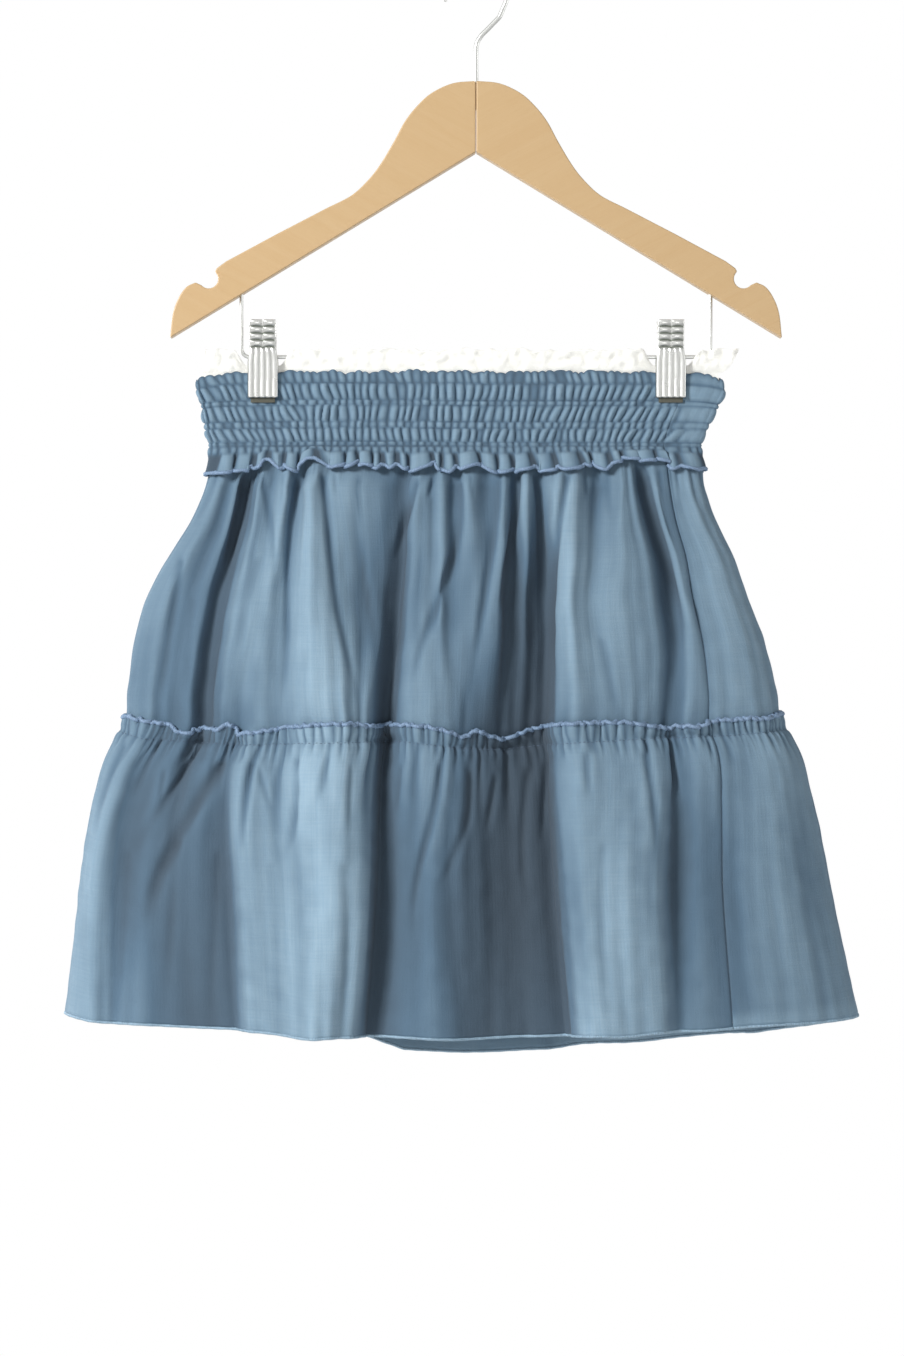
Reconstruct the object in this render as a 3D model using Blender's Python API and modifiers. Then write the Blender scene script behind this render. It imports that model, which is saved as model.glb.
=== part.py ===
"""A two-tier gathered skirt with a shirred waistband, hanging by two clips from a wooden hanger.

All sizes are in millimetres and are turned into Blender's metres when a mesh is made.
X runs from the wearer's right to left as seen from the front, +Y points to the back and +Z up.
The origin is where the hook rests on a rail: the inside of the top of the hook.
"""

import math
from collections import namedtuple

import bmesh
import bpy
import numpy as np

MM = 0.001

# Cloth
CLOTH_WALL = 1.3
SEAM_GAP = 0.3
BAND_WALL = 1.2
FRILL_WALL = 1.0
FACING_WALL = 0.9

# Heights of the skirt along its middle, down from the rail
BAND_TOP = -258.0
WAIST_SEAM = -305.0
FRILL_MIDDLE = -312.0
FRILL_EDGE = -321.0
UPPER_TIER_TOP = -299.0
TIER_SEAM = -486.5
HEADING_HEIGHT = 9.0
ROW_OVER_HEADING = -430.0
HEM = -665.0
BACK_HEM_DROP = 18.0
BACK_DROP_FROM = -100.0
BACK_DROP_TO = -45.0
CORNER_DROP = 5.0
EDGE_LIFT_POWER = 1.8

# Waistband shirring: raised ribs between rows of elastic thread
RIBS_ACROSS = 62
RIB_HEIGHT = 1.8
RIBS_BEFORE_SEAM = 58
RIBS_BEFORE_LEFT_SEAM = 122
RIBS_NEAR_EDGE = 3
EDGE_TURN = 0.40
# Hanging frill below the shirring, and the upstanding heading of the lower tier
FRILL_WAVE = 3.2
FRILL_WAVES = 42
FRILL_EDGE_WANDER = 3.0
FRILL_IN_VALLEYS = 0.25
FRILL_CLEARANCE = 0.7
HEADING_WAVE = 3.2
HEADING_WAVES = 60
HEADING_EDGE_WANDER = 2.4
GATHER_WAVE = 3.0
GATHER_WAVES = 66
RIPPLE_DIES_AT = 10.0
FACING_TOP = -243.7
FACING_BOTTOM = -296.0

# Hanger
ROD_Z = -248.0
ROD_WIRE = 2.4
ROD_HALF_SPAN = 145.4
ROD_BEND = 5.0
ROD_TOP = -202.0
HOOK_WIRE = 3.0
HOOK_RADIUS = 20.5
HOOK_BOTTOM = -95.0
WOOD_THICKNESS = 12.0
WOOD_ROUNDING = 2.2
WIRE_CLEARANCE = 0.3

# Clips
CLIP_X = {"left": -132.0, "right": 120.6}
JAW_SHEET = 0.8
JAW_TOP = 22.5
JAW_BEND = 6.0
JAW_BOTTOM = -25.4
THUMB_HALF_WIDTH = 8.0
LIP_HALF_WIDTH = 9.3
THUMB_BUMP = 1.2
LIP_RIB = 0.9
PAD_WIDTH = 15.0
PAD_THICKNESS = 1.0
PAD_TOP = -16.5
PAD_BOTTOM = -28.5
PAD_FACE = 2.65
EAR_SHEET = 0.8
EAR_HALF_HEIGHT = 3.2
EAR_REACH = 2.2
EAR_X = {"front": 7.6, "back": 6.5}
SPRING_WIDTH = 9.0
SPRING_SHEET = 0.6

BLUE = (0.137, 0.245, 0.372)
CREAM = (0.83, 0.80, 0.70)
WOOD = (0.63, 0.42, 0.20)
CHROME = (0.78, 0.78, 0.80)
RUBBER = (0.10, 0.09, 0.06)

# The skirt's outline at each height: z in the middle, x of its left and right edges, half its depth,
# how square its section is (1 is an ellipse, 0 a box), and how far its edges are lifted
Outline = namedtuple("Outline", "z left right depth square lift")
OUTLINE = (
    Outline(-250, -171.0, 151.0, 1.1, 0.12, 0.0),
    Outline(-258, -173.0, 152.0, 1.1, 0.12, 0.0),
    Outline(-266, -172.0, 153.0, 1.1, 0.12, 0.0),
    Outline(-276, -169.5, 149.0, 1.1, 0.12, 0.0),
    Outline(-290, -167.0, 142.5, 2.8, 0.22, 0.0),
    Outline(-305, -164.0, 138.0, 6.5, 0.34, 0.0),
    Outline(-316, -165.0, 140.5, 10.5, 0.50, 0.6),
    Outline(-330, -168.6, 142.6, 17.0, 0.65, 1.2),
    Outline(-350, -176.7, 148.8, 26.0, 0.80, 2.0),
    Outline(-375, -191.0, 160.0, 33.0, 0.85, 3.2),
    Outline(-399, -203.4, 168.0, 38.0, 0.85, 4.3),
    Outline(-430, -212.7, 179.2, 42.0, 0.85, 5.7),
    Outline(-460, -217.0, 186.3, 44.0, 0.85, 6.9),
    Outline(-487, -219.5, 191.6, 46.0, 0.85, 8.0),
    Outline(-495, -223.8, 196.5, 49.0, 0.85, 8.1),
    Outline(-505, -229.0, 200.9, 53.0, 0.85, 8.2),
    Outline(-525, -234.7, 206.2, 57.0, 0.85, 8.4),
    Outline(-550, -240.0, 212.0, 60.0, 0.85, 8.7),
    Outline(-580, -244.0, 217.6, 62.0, 0.85, 9.1),
    Outline(-610, -247.0, 223.6, 64.0, 0.85, 9.5),
    Outline(-640, -250.1, 229.8, 66.0, 0.85, 9.9),
    Outline(-665, -253.0, 235.0, 68.0, 0.85, 10.3),
)

# The front's folds from left to right: where each ridge or valley runs at five heights, and how far it
# stands out from the mean surface there (a valley is negative)
FOLD_HEIGHTS = (-330.0, -399.0, -479.0, -566.0, -665.0)
Fold = namedtuple("Fold", "x_waist x_hip x_seam x_low x_hem out_waist out_hip out_seam out_low out_hem")
FRONT_FOLDS = (
    Fold(-161, -190, -202, -234, -236, 1, 4, 3, 3, 3),
    Fold(-151, -174, -187, -216, -221, -2, -4, -4, -4, -2),
    Fold(-147, -166, -177, -201, -208, 0, -2, -2, 2, 1),
    Fold(-142, -159, -167, -188, -188, -7, -8, -5, -6, -6),
    Fold(-133, -143, -154, -171, -166, 4, 6, 3, 0, -4),
    Fold(-126, -135, -146, -160, -155, -2, 5, 2, -3, -2),
    Fold(-118, -128, -135, -140, -133, 4, 6, 6, 8, 10),
    Fold(-110, -115, -119, -119, -115, -6, -3, 2, 6, 10),
    Fold(-102, -101, -97, -98, -98, 5, 9, 10, 11, 12),
    Fold(-92, -87, -82, -87, -89, -3, 1, 6, 8, 9),
    Fold(-83, -77, -73, -77, -83, 4, 4, 8, 8, 8),
    Fold(-61, -58, -65, -69, -77, 5, 3, 2, 2, 2),
    Fold(-48, -51, -58, -60, -68, -9, -14, -18, -17, -15),
    Fold(-40, -46, -50, -52, -60, 1, -1, -3, -3, 0),
    Fold(-32, -37, -38, -41, -46, 3, 5, 5, 3, 4),
    Fold(-27, -29, -29, -33, -36, -3, 2, 4, 2, 4),
    Fold(-21, -22, -22, -26, -25, 4, 4, 3, 5, 5),
    Fold(-14, -16, -15, -18, -15, -6, -3, -1, -1, 1),
    Fold(-4, -3, -7, -10, -6, 6, 6, -5, -6, -6),
    Fold(8, 7, 1, 2, 6, -4, 3, -11, -13, -12),
    Fold(17, 14, 9, 15, 18, 4, 1, -12, -12, -11),
    Fold(24, 20, 17, 24, 28, -8, -11, -16, -13, -12),
    Fold(31, 30, 27, 33, 37, 4, -4, -13, -11, -10),
    Fold(38, 40, 38, 44, 50, -7, -14, -15, -13, -13),
    Fold(47, 48, 47, 52, 60, 1, -1, -2, -1, -1),
    Fold(61, 56, 60, 63, 71, 6, 9, 8, 9, 9),
    Fold(74, 69, 76, 77, 82, -5, 4, 6, 7, 8),
    Fold(89, 84, 90, 92, 94, 6, 7, 7, 8, 8),
    Fold(96, 107, 108, 108, 111, 3, 4, 4, 5, 6),
    Fold(103, 118, 119, 119, 123, -9, -9, -7, -8, -5),
    Fold(112, 128, 133, 136, 138, 3, 3, 2, 0, -1),
    Fold(120, 133, 143, 150, 156, -1, -1, -1, -1, -1),
    Fold(127, 148, 159, 167, 176, 1, 2, 2, 3, 3),
    Fold(134, 158, 175, 192, 206, 1, 2, 2, 3, 3),
)
RIGHT_SEAM_FOLD = 32
BACK_FOLDS = 15
# The hidden back: small gathers that die away, on broad folds that grow towards the hem
BACK_GATHER = (4.0, 4.5, 3.5, 3.0, 3.0)
BACK_BROAD = (0.0, 4.0, 6.0, 8.0, 8.0)
RELIEF_AT_SEAM = 0.03
FOLD_DEPTH = 1.35
FOLDS_ROUND = len(FRONT_FOLDS) + 1 + BACK_FOLDS + 1
SIDE_FOLD = len(FRONT_FOLDS) + 1


def through(knots, values, at):
    """A smooth curve through values given at falling knots; past the ends it stays level."""
    knots = -np.asarray(knots, float)
    values = np.asarray(values, float)
    slopes = np.gradient(values, knots, axis=0)
    at = -min(max(at, -knots[-1]), -knots[0])
    i = min(int(np.searchsorted(knots, at, "right")) - 1, len(knots) - 2)
    i = max(i, 0)
    span = knots[i + 1] - knots[i]
    t = (at - knots[i]) / span
    ease = t * t * (3 - 2 * t)
    start = values[i] * (1 - ease) + values[i + 1] * ease
    return start + span * (slopes[i] * t * (1 - t) ** 2 - slopes[i + 1] * t * t * (1 - t))


def outline_at(z):
    return Outline(z, *through([row.z for row in OUTLINE], [row[1:] for row in OUTLINE], z))


def turned(x, shape):
    """Where a point of the front at x lies on the ring, as an angle from the left edge (0) to the right (pi)."""
    share = (np.asarray(x, float) - shape.left) / (shape.right - shape.left)
    return np.arccos(1 - 2 * np.clip(share, 0, 1))


def back_folds():
    """Angle and relief of the back's folds at each of the five heights, from the right edge to the left."""
    rows = []
    for j in range(1, BACK_FOLDS + 1):
        wander = [0.22 * math.sin(1.9 * j + 0.7 * k) for k in range(len(FOLD_HEIGHTS))]
        angle = [math.pi * (1 + (j + w + 0.6) / (BACK_FOLDS + 2.2)) for w in wander]
        size = 0.75 + 0.25 * math.sin(2.3 * j)
        broad = math.cos(2 * math.pi * 2.6 * j / BACK_FOLDS + 0.8)
        near_edge = math.sin(math.pi * j / (BACK_FOLDS + 1)) ** 0.5
        relief = [
            near_edge * ((-1) ** j * size * gather + broad * wide)
            for gather, wide in zip(BACK_GATHER, BACK_BROAD)
        ]
        rows.append((angle, relief))
    return rows


def fold_lines():
    """Arrays (height, fold) of the angle and the relief of every fold round the skirt, edges included."""
    shapes = [outline_at(z) for z in FOLD_HEIGHTS]
    level = range(len(FOLD_HEIGHTS))
    front_angle = [turned([fold[k] for fold in FRONT_FOLDS], shapes[k]) for k in level]
    front_relief = [[fold[5 + k] for fold in FRONT_FOLDS] for k in level]
    back = back_folds()
    angles, reliefs = [], []
    for k in level:
        angles.append([0.0, *front_angle[k], math.pi, *(row[0][k] for row in back), 2 * math.pi])
        reliefs.append([0.0, *front_relief[k], 0.0, *(row[1][k] for row in back), 0.0])
    return np.array(angles), np.array(reliefs) * FOLD_DEPTH


ANGLES, RELIEFS = fold_lines()


def ring(z, folds, valleys=1.0):
    """Points (n, 3) of the skirt's surface at height z, for places counted in folds from the left edge.

    Valleys is the share of the valleys' depth that is kept: a frill bridges them.
    """
    shape = outline_at(z)
    folds = np.asarray(folds, float)
    turns = np.floor(folds / FOLDS_ROUND)
    place = folds - turns * FOLDS_ROUND
    first = np.minimum(place.astype(int), FOLDS_ROUND - 1)
    part = place - first
    angle = through(FOLD_HEIGHTS, ANGLES, z)
    relief = through(FOLD_HEIGHTS, RELIEFS, z) * relief_growth(z)
    relief = np.where(relief < 0, relief * valleys, relief)
    theta = angle[first] * (1 - part) + angle[first + 1] * part
    ease = (1 - np.cos(np.pi * part)) / 2
    out = relief[first] * (1 - ease) + relief[first + 1] * ease
    return section(shape, theta, out)


def relief_growth(z):
    """Folds start as small gathers at the waist seam and reach their depth a little below the frill."""
    t = min(max((WAIST_SEAM - z) / (WAIST_SEAM - FOLD_HEIGHTS[0]), 0.0), 1.0)
    return RELIEF_AT_SEAM + (1 - RELIEF_AT_SEAM) * t


def section(shape, theta, out):
    """A section of the skirt: the flattened ring of an outline, with relief added to its depth."""
    middle = (shape.left + shape.right) / 2
    half = (shape.right - shape.left) / 2
    front = np.where(np.sin(theta) >= 0, -1.0, 1.0)
    bulge = np.abs(np.sin(theta)) ** shape.square
    x = middle - half * np.cos(theta)
    y = front * (shape.depth * bulge + out * np.minimum(1.0, 2.5 * np.abs(np.sin(theta))))
    edge = np.abs(np.cos(theta)) ** EDGE_LIFT_POWER
    # The back hangs lower than the front towards the hem, but for its left end
    drop = min(max((shape.z - TIER_SEAM) / (HEM - TIER_SEAM), 0.0), 1.0) ** 2
    whole = np.clip((x - BACK_DROP_FROM) / (BACK_DROP_TO - BACK_DROP_FROM), 0, 1)
    sagging = whole * np.abs(np.sin(theta)) ** 1.2
    lower_back = BACK_HEM_DROP * drop * np.where(front > 0, sagging, 0.0)
    z = shape.z + shape.lift * edge - lower_back
    return np.stack([x, y, z], axis=1)


def moved_out(points, distance):
    """A closed ring of points moved sideways by a distance, or by one distance for each point."""
    ahead = np.roll(points, -1, axis=0)[:, :2] - points[:, :2]
    length = np.maximum(np.linalg.norm(ahead, axis=1, keepdims=True), 1e-6)
    ahead = ahead / length
    # The ring runs from the left edge over the front to the right edge, so outside is on its right
    side = np.stack([ahead[:, 1], -ahead[:, 0]], axis=1)
    both = side + np.roll(side, 1, axis=0)
    both /= np.maximum(np.linalg.norm(both, axis=1, keepdims=True), 1e-6)
    mitre = 1 / np.maximum((both * side).sum(axis=1), 0.5)
    moved = points.copy()
    moved[:, :2] += both * (mitre * distance)[:, None]
    return moved


def fold_places(per_fold):
    return np.arange(FOLDS_ROUND * per_fold) / per_fold


def between(points):
    """The closed ring with a point added in the middle of each of its sides."""
    middle = (points + np.roll(points, -1, axis=0)) / 2
    return np.stack([points, middle], axis=1).reshape(-1, 3)


def wave(places, length):
    """From 0 to 1 and back once in each length."""
    return 0.5 - 0.5 * np.cos(2 * np.pi * places / length)


def cut(row, start, end):
    """The stretch of a closed ring from one point's index to another's, trimmed by half a seam gap at each end."""
    row = row[np.arange(start, end + 1) % len(row)].copy()
    for end_point, inner in ((0, 1), (-1, -2)):
        along = row[inner] - row[end_point]
        row[end_point] += along / np.linalg.norm(along) * SEAM_GAP / 2
    return row


def panel_ends(side, per_fold):
    """Index of the first and last point of the front or the back panel on a ring."""
    left_seam = FOLDS_ROUND - 1
    if side == "front":
        return (left_seam - FOLDS_ROUND) * per_fold, RIGHT_SEAM_FOLD * per_fold
    return RIGHT_SEAM_FOLD * per_fold, left_seam * per_fold


def new_object(name, mesh, material, parent=None):
    obj = bpy.data.objects.new(name, mesh)
    obj.data.materials.append(material)
    bpy.data.collections["skirt_on_hanger"].objects.link(obj)
    obj.parent = parent
    return obj


def finish_mesh(name, bm):
    """A mesh in metres from a bmesh in millimetres, facing out."""
    bmesh.ops.scale(bm, vec=(MM, MM, MM), verts=bm.verts)
    bmesh.ops.recalc_face_normals(bm, faces=bm.faces)
    mesh = bpy.data.meshes.new(name)
    bm.to_mesh(mesh)
    bm.free()
    return mesh


def join_rows(bm, above, below):
    """Triangles between two rows of vertices, the upper row first; the rows may differ in number."""
    ends = len(above) - 1, len(below) - 1
    i = j = 0
    while i < ends[0] or j < ends[1]:
        if ends[0] == ends[1]:
            upper_next = i == j
        elif ends[0] == 2 * ends[1]:
            upper_next = i <= 2 * j and i < ends[0]
        elif ends[1] == 2 * ends[0]:
            upper_next = j > 2 * i
        elif i == ends[0] or j == ends[1]:
            upper_next = j == ends[1]
        else:
            upper_next = (above[i + 1].co - below[j].co).length <= (above[i].co - below[j + 1].co).length
        if upper_next:
            bm.faces.new((above[i], above[i + 1], below[j]))
            i += 1
        else:
            bm.faces.new((above[i], below[j + 1], below[j]))
            j += 1


def wall(name, outer, inner, material, parent=None):
    """A closed sheet of cloth or metal through rows of outer points and rows of inner points, top to bottom."""
    bm = bmesh.new()
    outer = [[bm.verts.new(p) for p in row] for row in outer]
    inner = [[bm.verts.new(p) for p in row] for row in inner]
    for rows in (outer, inner):
        for above, below in zip(rows, rows[1:]):
            join_rows(bm, above, below)
    for edge in (0, -1):
        join_rows(bm, outer[edge], inner[edge])
        join_rows(bm, [row[edge] for row in outer], [row[edge] for row in inner])
    mesh = finish_mesh(name, bm)
    mesh.shade_smooth()
    mesh.set_sharp_from_angle(angle=math.radians(50))
    return new_object(name, mesh, material, parent)


def tier_walls(stem, rows, material, parent):
    """The front and the back panel of a tier, from (outer ring, inner ring, points to a fold) rows."""
    for side in ("front", "back"):
        outer = [cut(row[0], *panel_ends(side, row[2])) for row in rows]
        inner = [cut(row[1], *panel_ends(side, row[2])) for row in rows]
        wall(f"{stem}_{side}", outer, inner, material, parent)


def make_upper_tier(material, parent):
    """The upper tier lies inside the waistband at its top and inside the lower tier at its bottom."""
    heights = (UPPER_TIER_TOP, WAIST_SEAM, FRILL_MIDDLE, FRILL_EDGE, -348.0, -388.0, ROW_OVER_HEADING)
    heights += (TIER_SEAM + HEADING_HEIGHT, TIER_SEAM)
    places = fold_places(2)
    rows = []
    for z in heights:
        base = ring(z, places)
        rows.append((moved_out(base, -SEAM_GAP), moved_out(base, -SEAM_GAP - CLOTH_WALL), 2))
    tier_walls("upper_tier", rows, material, parent)


def rippled(z, per_fold, size, waves_round, valleys=1.0):
    """The ring at z, and a ripple's height at each of its points, which dies in valleys and on steep sides."""
    base = ring(z, fold_places(2), valleys)
    if per_fold == 4:
        base = between(base)
    relief = through(FOLD_HEIGHTS, RELIEFS, z) * relief_growth(z)
    stand = np.interp(np.arange(len(base)) / per_fold, range(len(relief)), relief)
    slope = np.roll(base, -1, axis=0) - np.roll(base, 1, axis=0)
    facing = np.abs(slope[:, 0]) / np.maximum(np.hypot(slope[:, 0], slope[:, 1]), 1e-6)
    allowed = np.clip(1 + stand / RIPPLE_DIES_AT, 0, 1) * facing**2
    travelled = np.cumsum(np.hypot(slope[:, 0], slope[:, 1]))
    return base, wave(travelled / travelled[-1], 1 / waves_round) * size * allowed


def raised_edge(base, z, above, rise, length):
    """An edge at z that wanders up along the cloth under it, whose next row lies at height above."""
    share = rise * wave(np.arange(len(base)), length) / (above - z)
    return base + (between(ring(above, fold_places(2))) - between(ring(z, fold_places(2)))) * share[:, None]


def make_lower_tier(material, parent):
    """The lower tier is gathered just below its raw edge, which stands up as a small frill over the seam."""
    coarse = fold_places(2)
    rows = []
    ruffled = (
        (TIER_SEAM + HEADING_HEIGHT, HEADING_WAVE, HEADING_WAVES),
        (TIER_SEAM, 0.25, HEADING_WAVES),
        (TIER_SEAM - 12.0, GATHER_WAVE, GATHER_WAVES),
    )
    for z, size, waves in ruffled:
        base, ripple = rippled(z, 4, size, waves)
        if z > TIER_SEAM:
            base = raised_edge(base, z, ROW_OVER_HEADING, HEADING_EDGE_WANDER, 9.4)
        rows.append((moved_out(base, CLOTH_WALL + ripple), moved_out(base, ripple), 4))
    for z in (-535.0, -571.0, -605.0, -637.0, HEM):
        base = ring(z, coarse)
        rows.append((moved_out(base, CLOTH_WALL), base, 2))
    tier_walls("lower_tier", rows, material, parent)


def band_ring(z, theta):
    """The waistband's inner surface at height z, at angles counted as the section's are."""
    points = section(outline_at(z), theta, 0.0)
    fade = min(max((z - WAIST_SEAM) / (BAND_TOP - WAIST_SEAM), 0.0), 1.0) ** 2
    points[:, 2] -= CORNER_DROP * fade * np.abs(np.cos(theta)) ** 14
    return points


def pressed(points, z):
    """How far the clips press the ribs flat: 0 under a jaw, 1 clear of it."""
    left = np.ones(len(points))
    for x in CLIP_X.values():
        away = np.clip((np.abs(points[:, 0] - x) - LIP_HALF_WIDTH - 1.0) / 6.0, 0, 1)
        below = min(max((ROD_Z + PAD_BOTTOM - z) / 8.0, 0.0), 1.0)
        left = np.minimum(left, np.maximum(away, below))
    return left


def shirring(per_rib):
    """The angles of the ribs' columns round the band, one on each side seam, and where each panel begins and ends."""
    seams = [ANGLES[0][fold] for fold in (RIGHT_SEAM_FOLD, FOLDS_ROUND - 1)]
    marks = (0, RIBS_NEAR_EDGE, RIBS_BEFORE_SEAM, RIBS_ACROSS, RIBS_ACROSS + RIBS_NEAR_EDGE, RIBS_BEFORE_LEFT_SEAM)
    turns = (0, EDGE_TURN, seams[0], math.pi, math.pi + EDGE_TURN, seams[1])
    marks, turns = (*marks, 2 * RIBS_ACROSS), (*turns, 2 * math.pi)
    ribs = np.arange(2 * RIBS_ACROSS * per_rib) / per_rib
    theta = np.interp(ribs, marks, turns)
    # Over the flat of the front and of the back the ribs are evenly spaced across, not in angle
    across = np.arccos(np.interp(ribs, marks, np.cos(turns)))
    across = np.where(ribs <= RIBS_ACROSS, across, 2 * math.pi - across)
    flat = (ribs > marks[1]) & (ribs < marks[2]) | (ribs > marks[4]) & (ribs < marks[5])
    right, left = RIBS_BEFORE_SEAM * per_rib, RIBS_BEFORE_LEFT_SEAM * per_rib
    return np.where(flat, across, theta), {"front": (left - len(ribs), right), "back": (right, left)}


def make_waistband(material, parent):
    """Front and back of the shirred band, each with the frill that hangs from its last row of elastic."""
    # height, how far the ribs stand out there; a row of elastic has one column to a rib, a puffed row two
    rib_rows = (
        (BAND_TOP, 0.20, 2),
        (-264.7, 0.12, 1),
        (-270.0, 0.85, 2),
        (-275.5, 0.12, 1),
        (-282.7, 1.00, 2),
        (-290.0, 0.12, 1),
        (-297.0, 1.00, 2),
        (WAIST_SEAM, 0.12, 1),
    )
    outer = {"front": [], "back": []}
    for z, height, per_rib in rib_rows:
        theta, ends = shirring(per_rib)
        on_rib = np.where(np.arange(len(theta)) % per_rib == 1, 1.0, 0.12) if per_rib == 2 else 1.0
        base = band_ring(z, theta)
        raised = moved_out(base, BAND_WALL + RIB_HEIGHT * height * on_rib * pressed(base, z))
        for side, rows in outer.items():
            rows.append(cut(raised, *ends[side]))
    folds = fold_places(2)
    plain = [on_fold_columns(z, folds) for z in (BAND_TOP, -280.0)]
    plain += [ring(z, folds) for z in (UPPER_TIER_TOP, WAIST_SEAM)]
    inner = {side: [cut(row, *panel_ends(side, 2)) for row in plain] for side in outer}
    for z, size, per_fold in ((FRILL_MIDDLE, 0.4, 2), (FRILL_EDGE, 1.0, 4)):
        base, ripple = rippled(z, per_fold, FRILL_WAVE * size, FRILL_WAVES, FRILL_IN_VALLEYS)
        if z == FRILL_EDGE:
            base = raised_edge(base, z, FRILL_MIDDLE, FRILL_EDGE_WANDER, 11.3)
        for side in outer:
            ends = panel_ends(side, per_fold)
            inner[side].append(cut(moved_out(base, ripple + FRILL_CLEARANCE), *ends))
            outer[side].append(cut(moved_out(base, ripple + FRILL_CLEARANCE + FRILL_WALL), *ends))
    for side, rows in outer.items():
        wall(f"waistband_{side}", rows, inner[side], material, parent)


def on_fold_columns(z, folds):
    """The band's inner surface above the seam, on the columns that the tiers use."""
    points = ring(z, folds)
    shape = outline_at(z)
    middle, half = (shape.left + shape.right) / 2, (shape.right - shape.left) / 2
    theta = np.arccos(np.clip((middle - points[:, 0]) / half, -1, 1))
    return band_ring(z, np.where(folds % FOLDS_ROUND > SIDE_FOLD, 2 * math.pi - theta, theta))


def make_facing(material, parent):
    """The pale facing lies on the inside of the back of the waistband and stands up crumpled before the rod."""
    folds = fold_places(2)
    within = slice(SIDE_FOLD * 2 + 1, FOLDS_ROUND * 2 - 1)
    middle = on_fold_columns(-280.0, folds)
    share = (-280.0 - FACING_BOTTOM) / (-280.0 - UPPER_TIER_TOP)
    bottom = middle + (ring(UPPER_TIER_TOP, folds) - middle) * share
    hidden = [on_fold_columns(BAND_TOP, folds), middle, bottom]
    outer = [moved_out(row, -SEAM_GAP)[within] for row in hidden]
    inner = [moved_out(row, -SEAM_GAP - FACING_WALL)[within] for row in hidden]
    # height, height where a clip holds it down, x of its right and left ends, forward lean, size of its crumples
    standing = ((-251.5, -256.5, 159.0, -170.0, 3.8, 0.4), (FACING_TOP, -255.0, 164.0, -168.0, 4.6, 1.2))
    for z, held, right, left, lean, crumple in standing:
        row = between(np.vstack([outer[-3], outer[-3][:1]]))[:-3]
        across = (row[:, 0] - row[0, 0]) / (row[-1, 0] - row[0, 0])
        row[:, 0] = right + (left - right) * across
        clear = np.ones(len(row))
        for x in CLIP_X.values():
            clear = np.minimum(clear, np.clip((np.abs(row[:, 0] - x) - 11.0) / 8.0, 0, 1))
        row[:, 2] += held - BAND_TOP + (z - held) * clear + crumple * (wave(np.arange(len(row)), 4.4) - 0.5) * clear
        row[:, 1] -= (lean - crumple * (wave(np.arange(len(row)), 3.0) - 0.3)) * clear
        outer.insert(0, row)
        inner.insert(0, row - np.array((0, FACING_WALL, 0)))
    wall("waist_facing", outer, inner, material, parent)


def smooth_line(points, per_side):
    """A smooth line through points chosen by hand (Catmull-Rom)."""
    points = np.asarray(points, float)
    ends = [2 * points[0] - points[1], *points, 2 * points[-1] - points[-2]]
    line = []
    for a, b, c, d in zip(ends, ends[1:], ends[2:], ends[3:]):
        for t in np.arange(per_side) / per_side:
            curve = 2 * b + (c - a) * t + (2 * a - 5 * b + 4 * c - d) * t**2
            line.append(0.5 * (curve + (3 * b - a - 3 * c + d) * t**3))
    line.append(points[-1])
    return line


def arc(centre, radius, start_deg, end_deg, steps):
    turn = np.radians(np.linspace(start_deg, end_deg, steps + 1))
    return [(centre[0] + radius * math.cos(a), centre[1] + radius * math.sin(a)) for a in turn]


def arm_outline():
    """The right arm of the hanger in the XZ plane, from the middle of its top round to the peak below."""
    crown = smooth_line([(0, -77.5), (14.5, -79), (27.5, -85), (36.5, -93), (44, -102.5), (50.5, -114.5)], 1)
    hollow = smooth_line([(58.5, -128), (66, -138), (77, -148.3), (92.5, -156.3)], 2)
    notch = arc((165.5, -200.0), 5.9, 131, 318, 9)
    shoulder = smooth_line([(173.6, -202.2), (179.4, -205.2), (184.2, -212), (187.6, -221.5), (189.3, -236.5)], 2)
    return [*crown, *hollow, (123.5, -172.4), (154.5, -189.1), (160.4, -193.4), *notch, *shoulder, (0, -121.5)]


def make_arm(name, side, material, parent, bores):
    """Half of the wooden hanger: a rounded board, drilled for the hook and the clip rod."""
    bm = bmesh.new()
    corners = []
    for x, z in arm_outline():
        corners.append(bm.verts.new((side * max(x, SEAM_GAP / 2), -WOOD_THICKNESS / 2, z)))
    face = bm.faces.new(corners)
    board = bmesh.ops.extrude_face_region(bm, geom=[face])["geom"]
    across = [v for v in board if isinstance(v, bmesh.types.BMVert)]
    bmesh.ops.translate(bm, verts=across, vec=(0, WOOD_THICKNESS, 0))
    obj = new_object(name, finish_mesh(name, bm), material, parent)
    rounding = obj.modifiers.new("rounded_edges", "BEVEL")
    rounding.width = WOOD_ROUNDING * MM
    rounding.segments = 2
    rounding.angle_limit = math.radians(50)
    for bore in bores:
        drill = obj.modifiers.new(bore.name, "BOOLEAN")
        drill.object = bore


def make_bore(name, x, top, bottom, radius):
    """A cutter for a drilled hole, from its blind end down or up through the wood's surface."""
    bm = bmesh.new()
    bmesh.ops.create_cone(
        bm, cap_ends=True, segments=12, radius1=radius, radius2=radius, depth=top - bottom
    )
    bmesh.ops.translate(bm, verts=bm.verts, vec=(x, 0, (top + bottom) / 2))
    obj = bpy.data.objects.new(name, finish_mesh(name, bm))
    obj.hide_render = True
    obj.display_type = "WIRE"
    bpy.data.collections["cutters"].objects.link(obj)
    return obj


def make_wire(name, path, wire, material, parent):
    """A round wire along a path in the XZ plane."""
    data = bpy.data.curves.new(name, "CURVE")
    data.dimensions = "3D"
    data.bevel_depth = wire / 2 * MM
    data.bevel_resolution = 2
    data.use_fill_caps = True
    spline = data.splines.new("POLY")
    spline.points.add(len(path) - 1)
    for point, (x, z) in zip(spline.points, path):
        point.co = (x * MM, 0, z * MM, 1)
    return new_object(name, data, material, parent)


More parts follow.
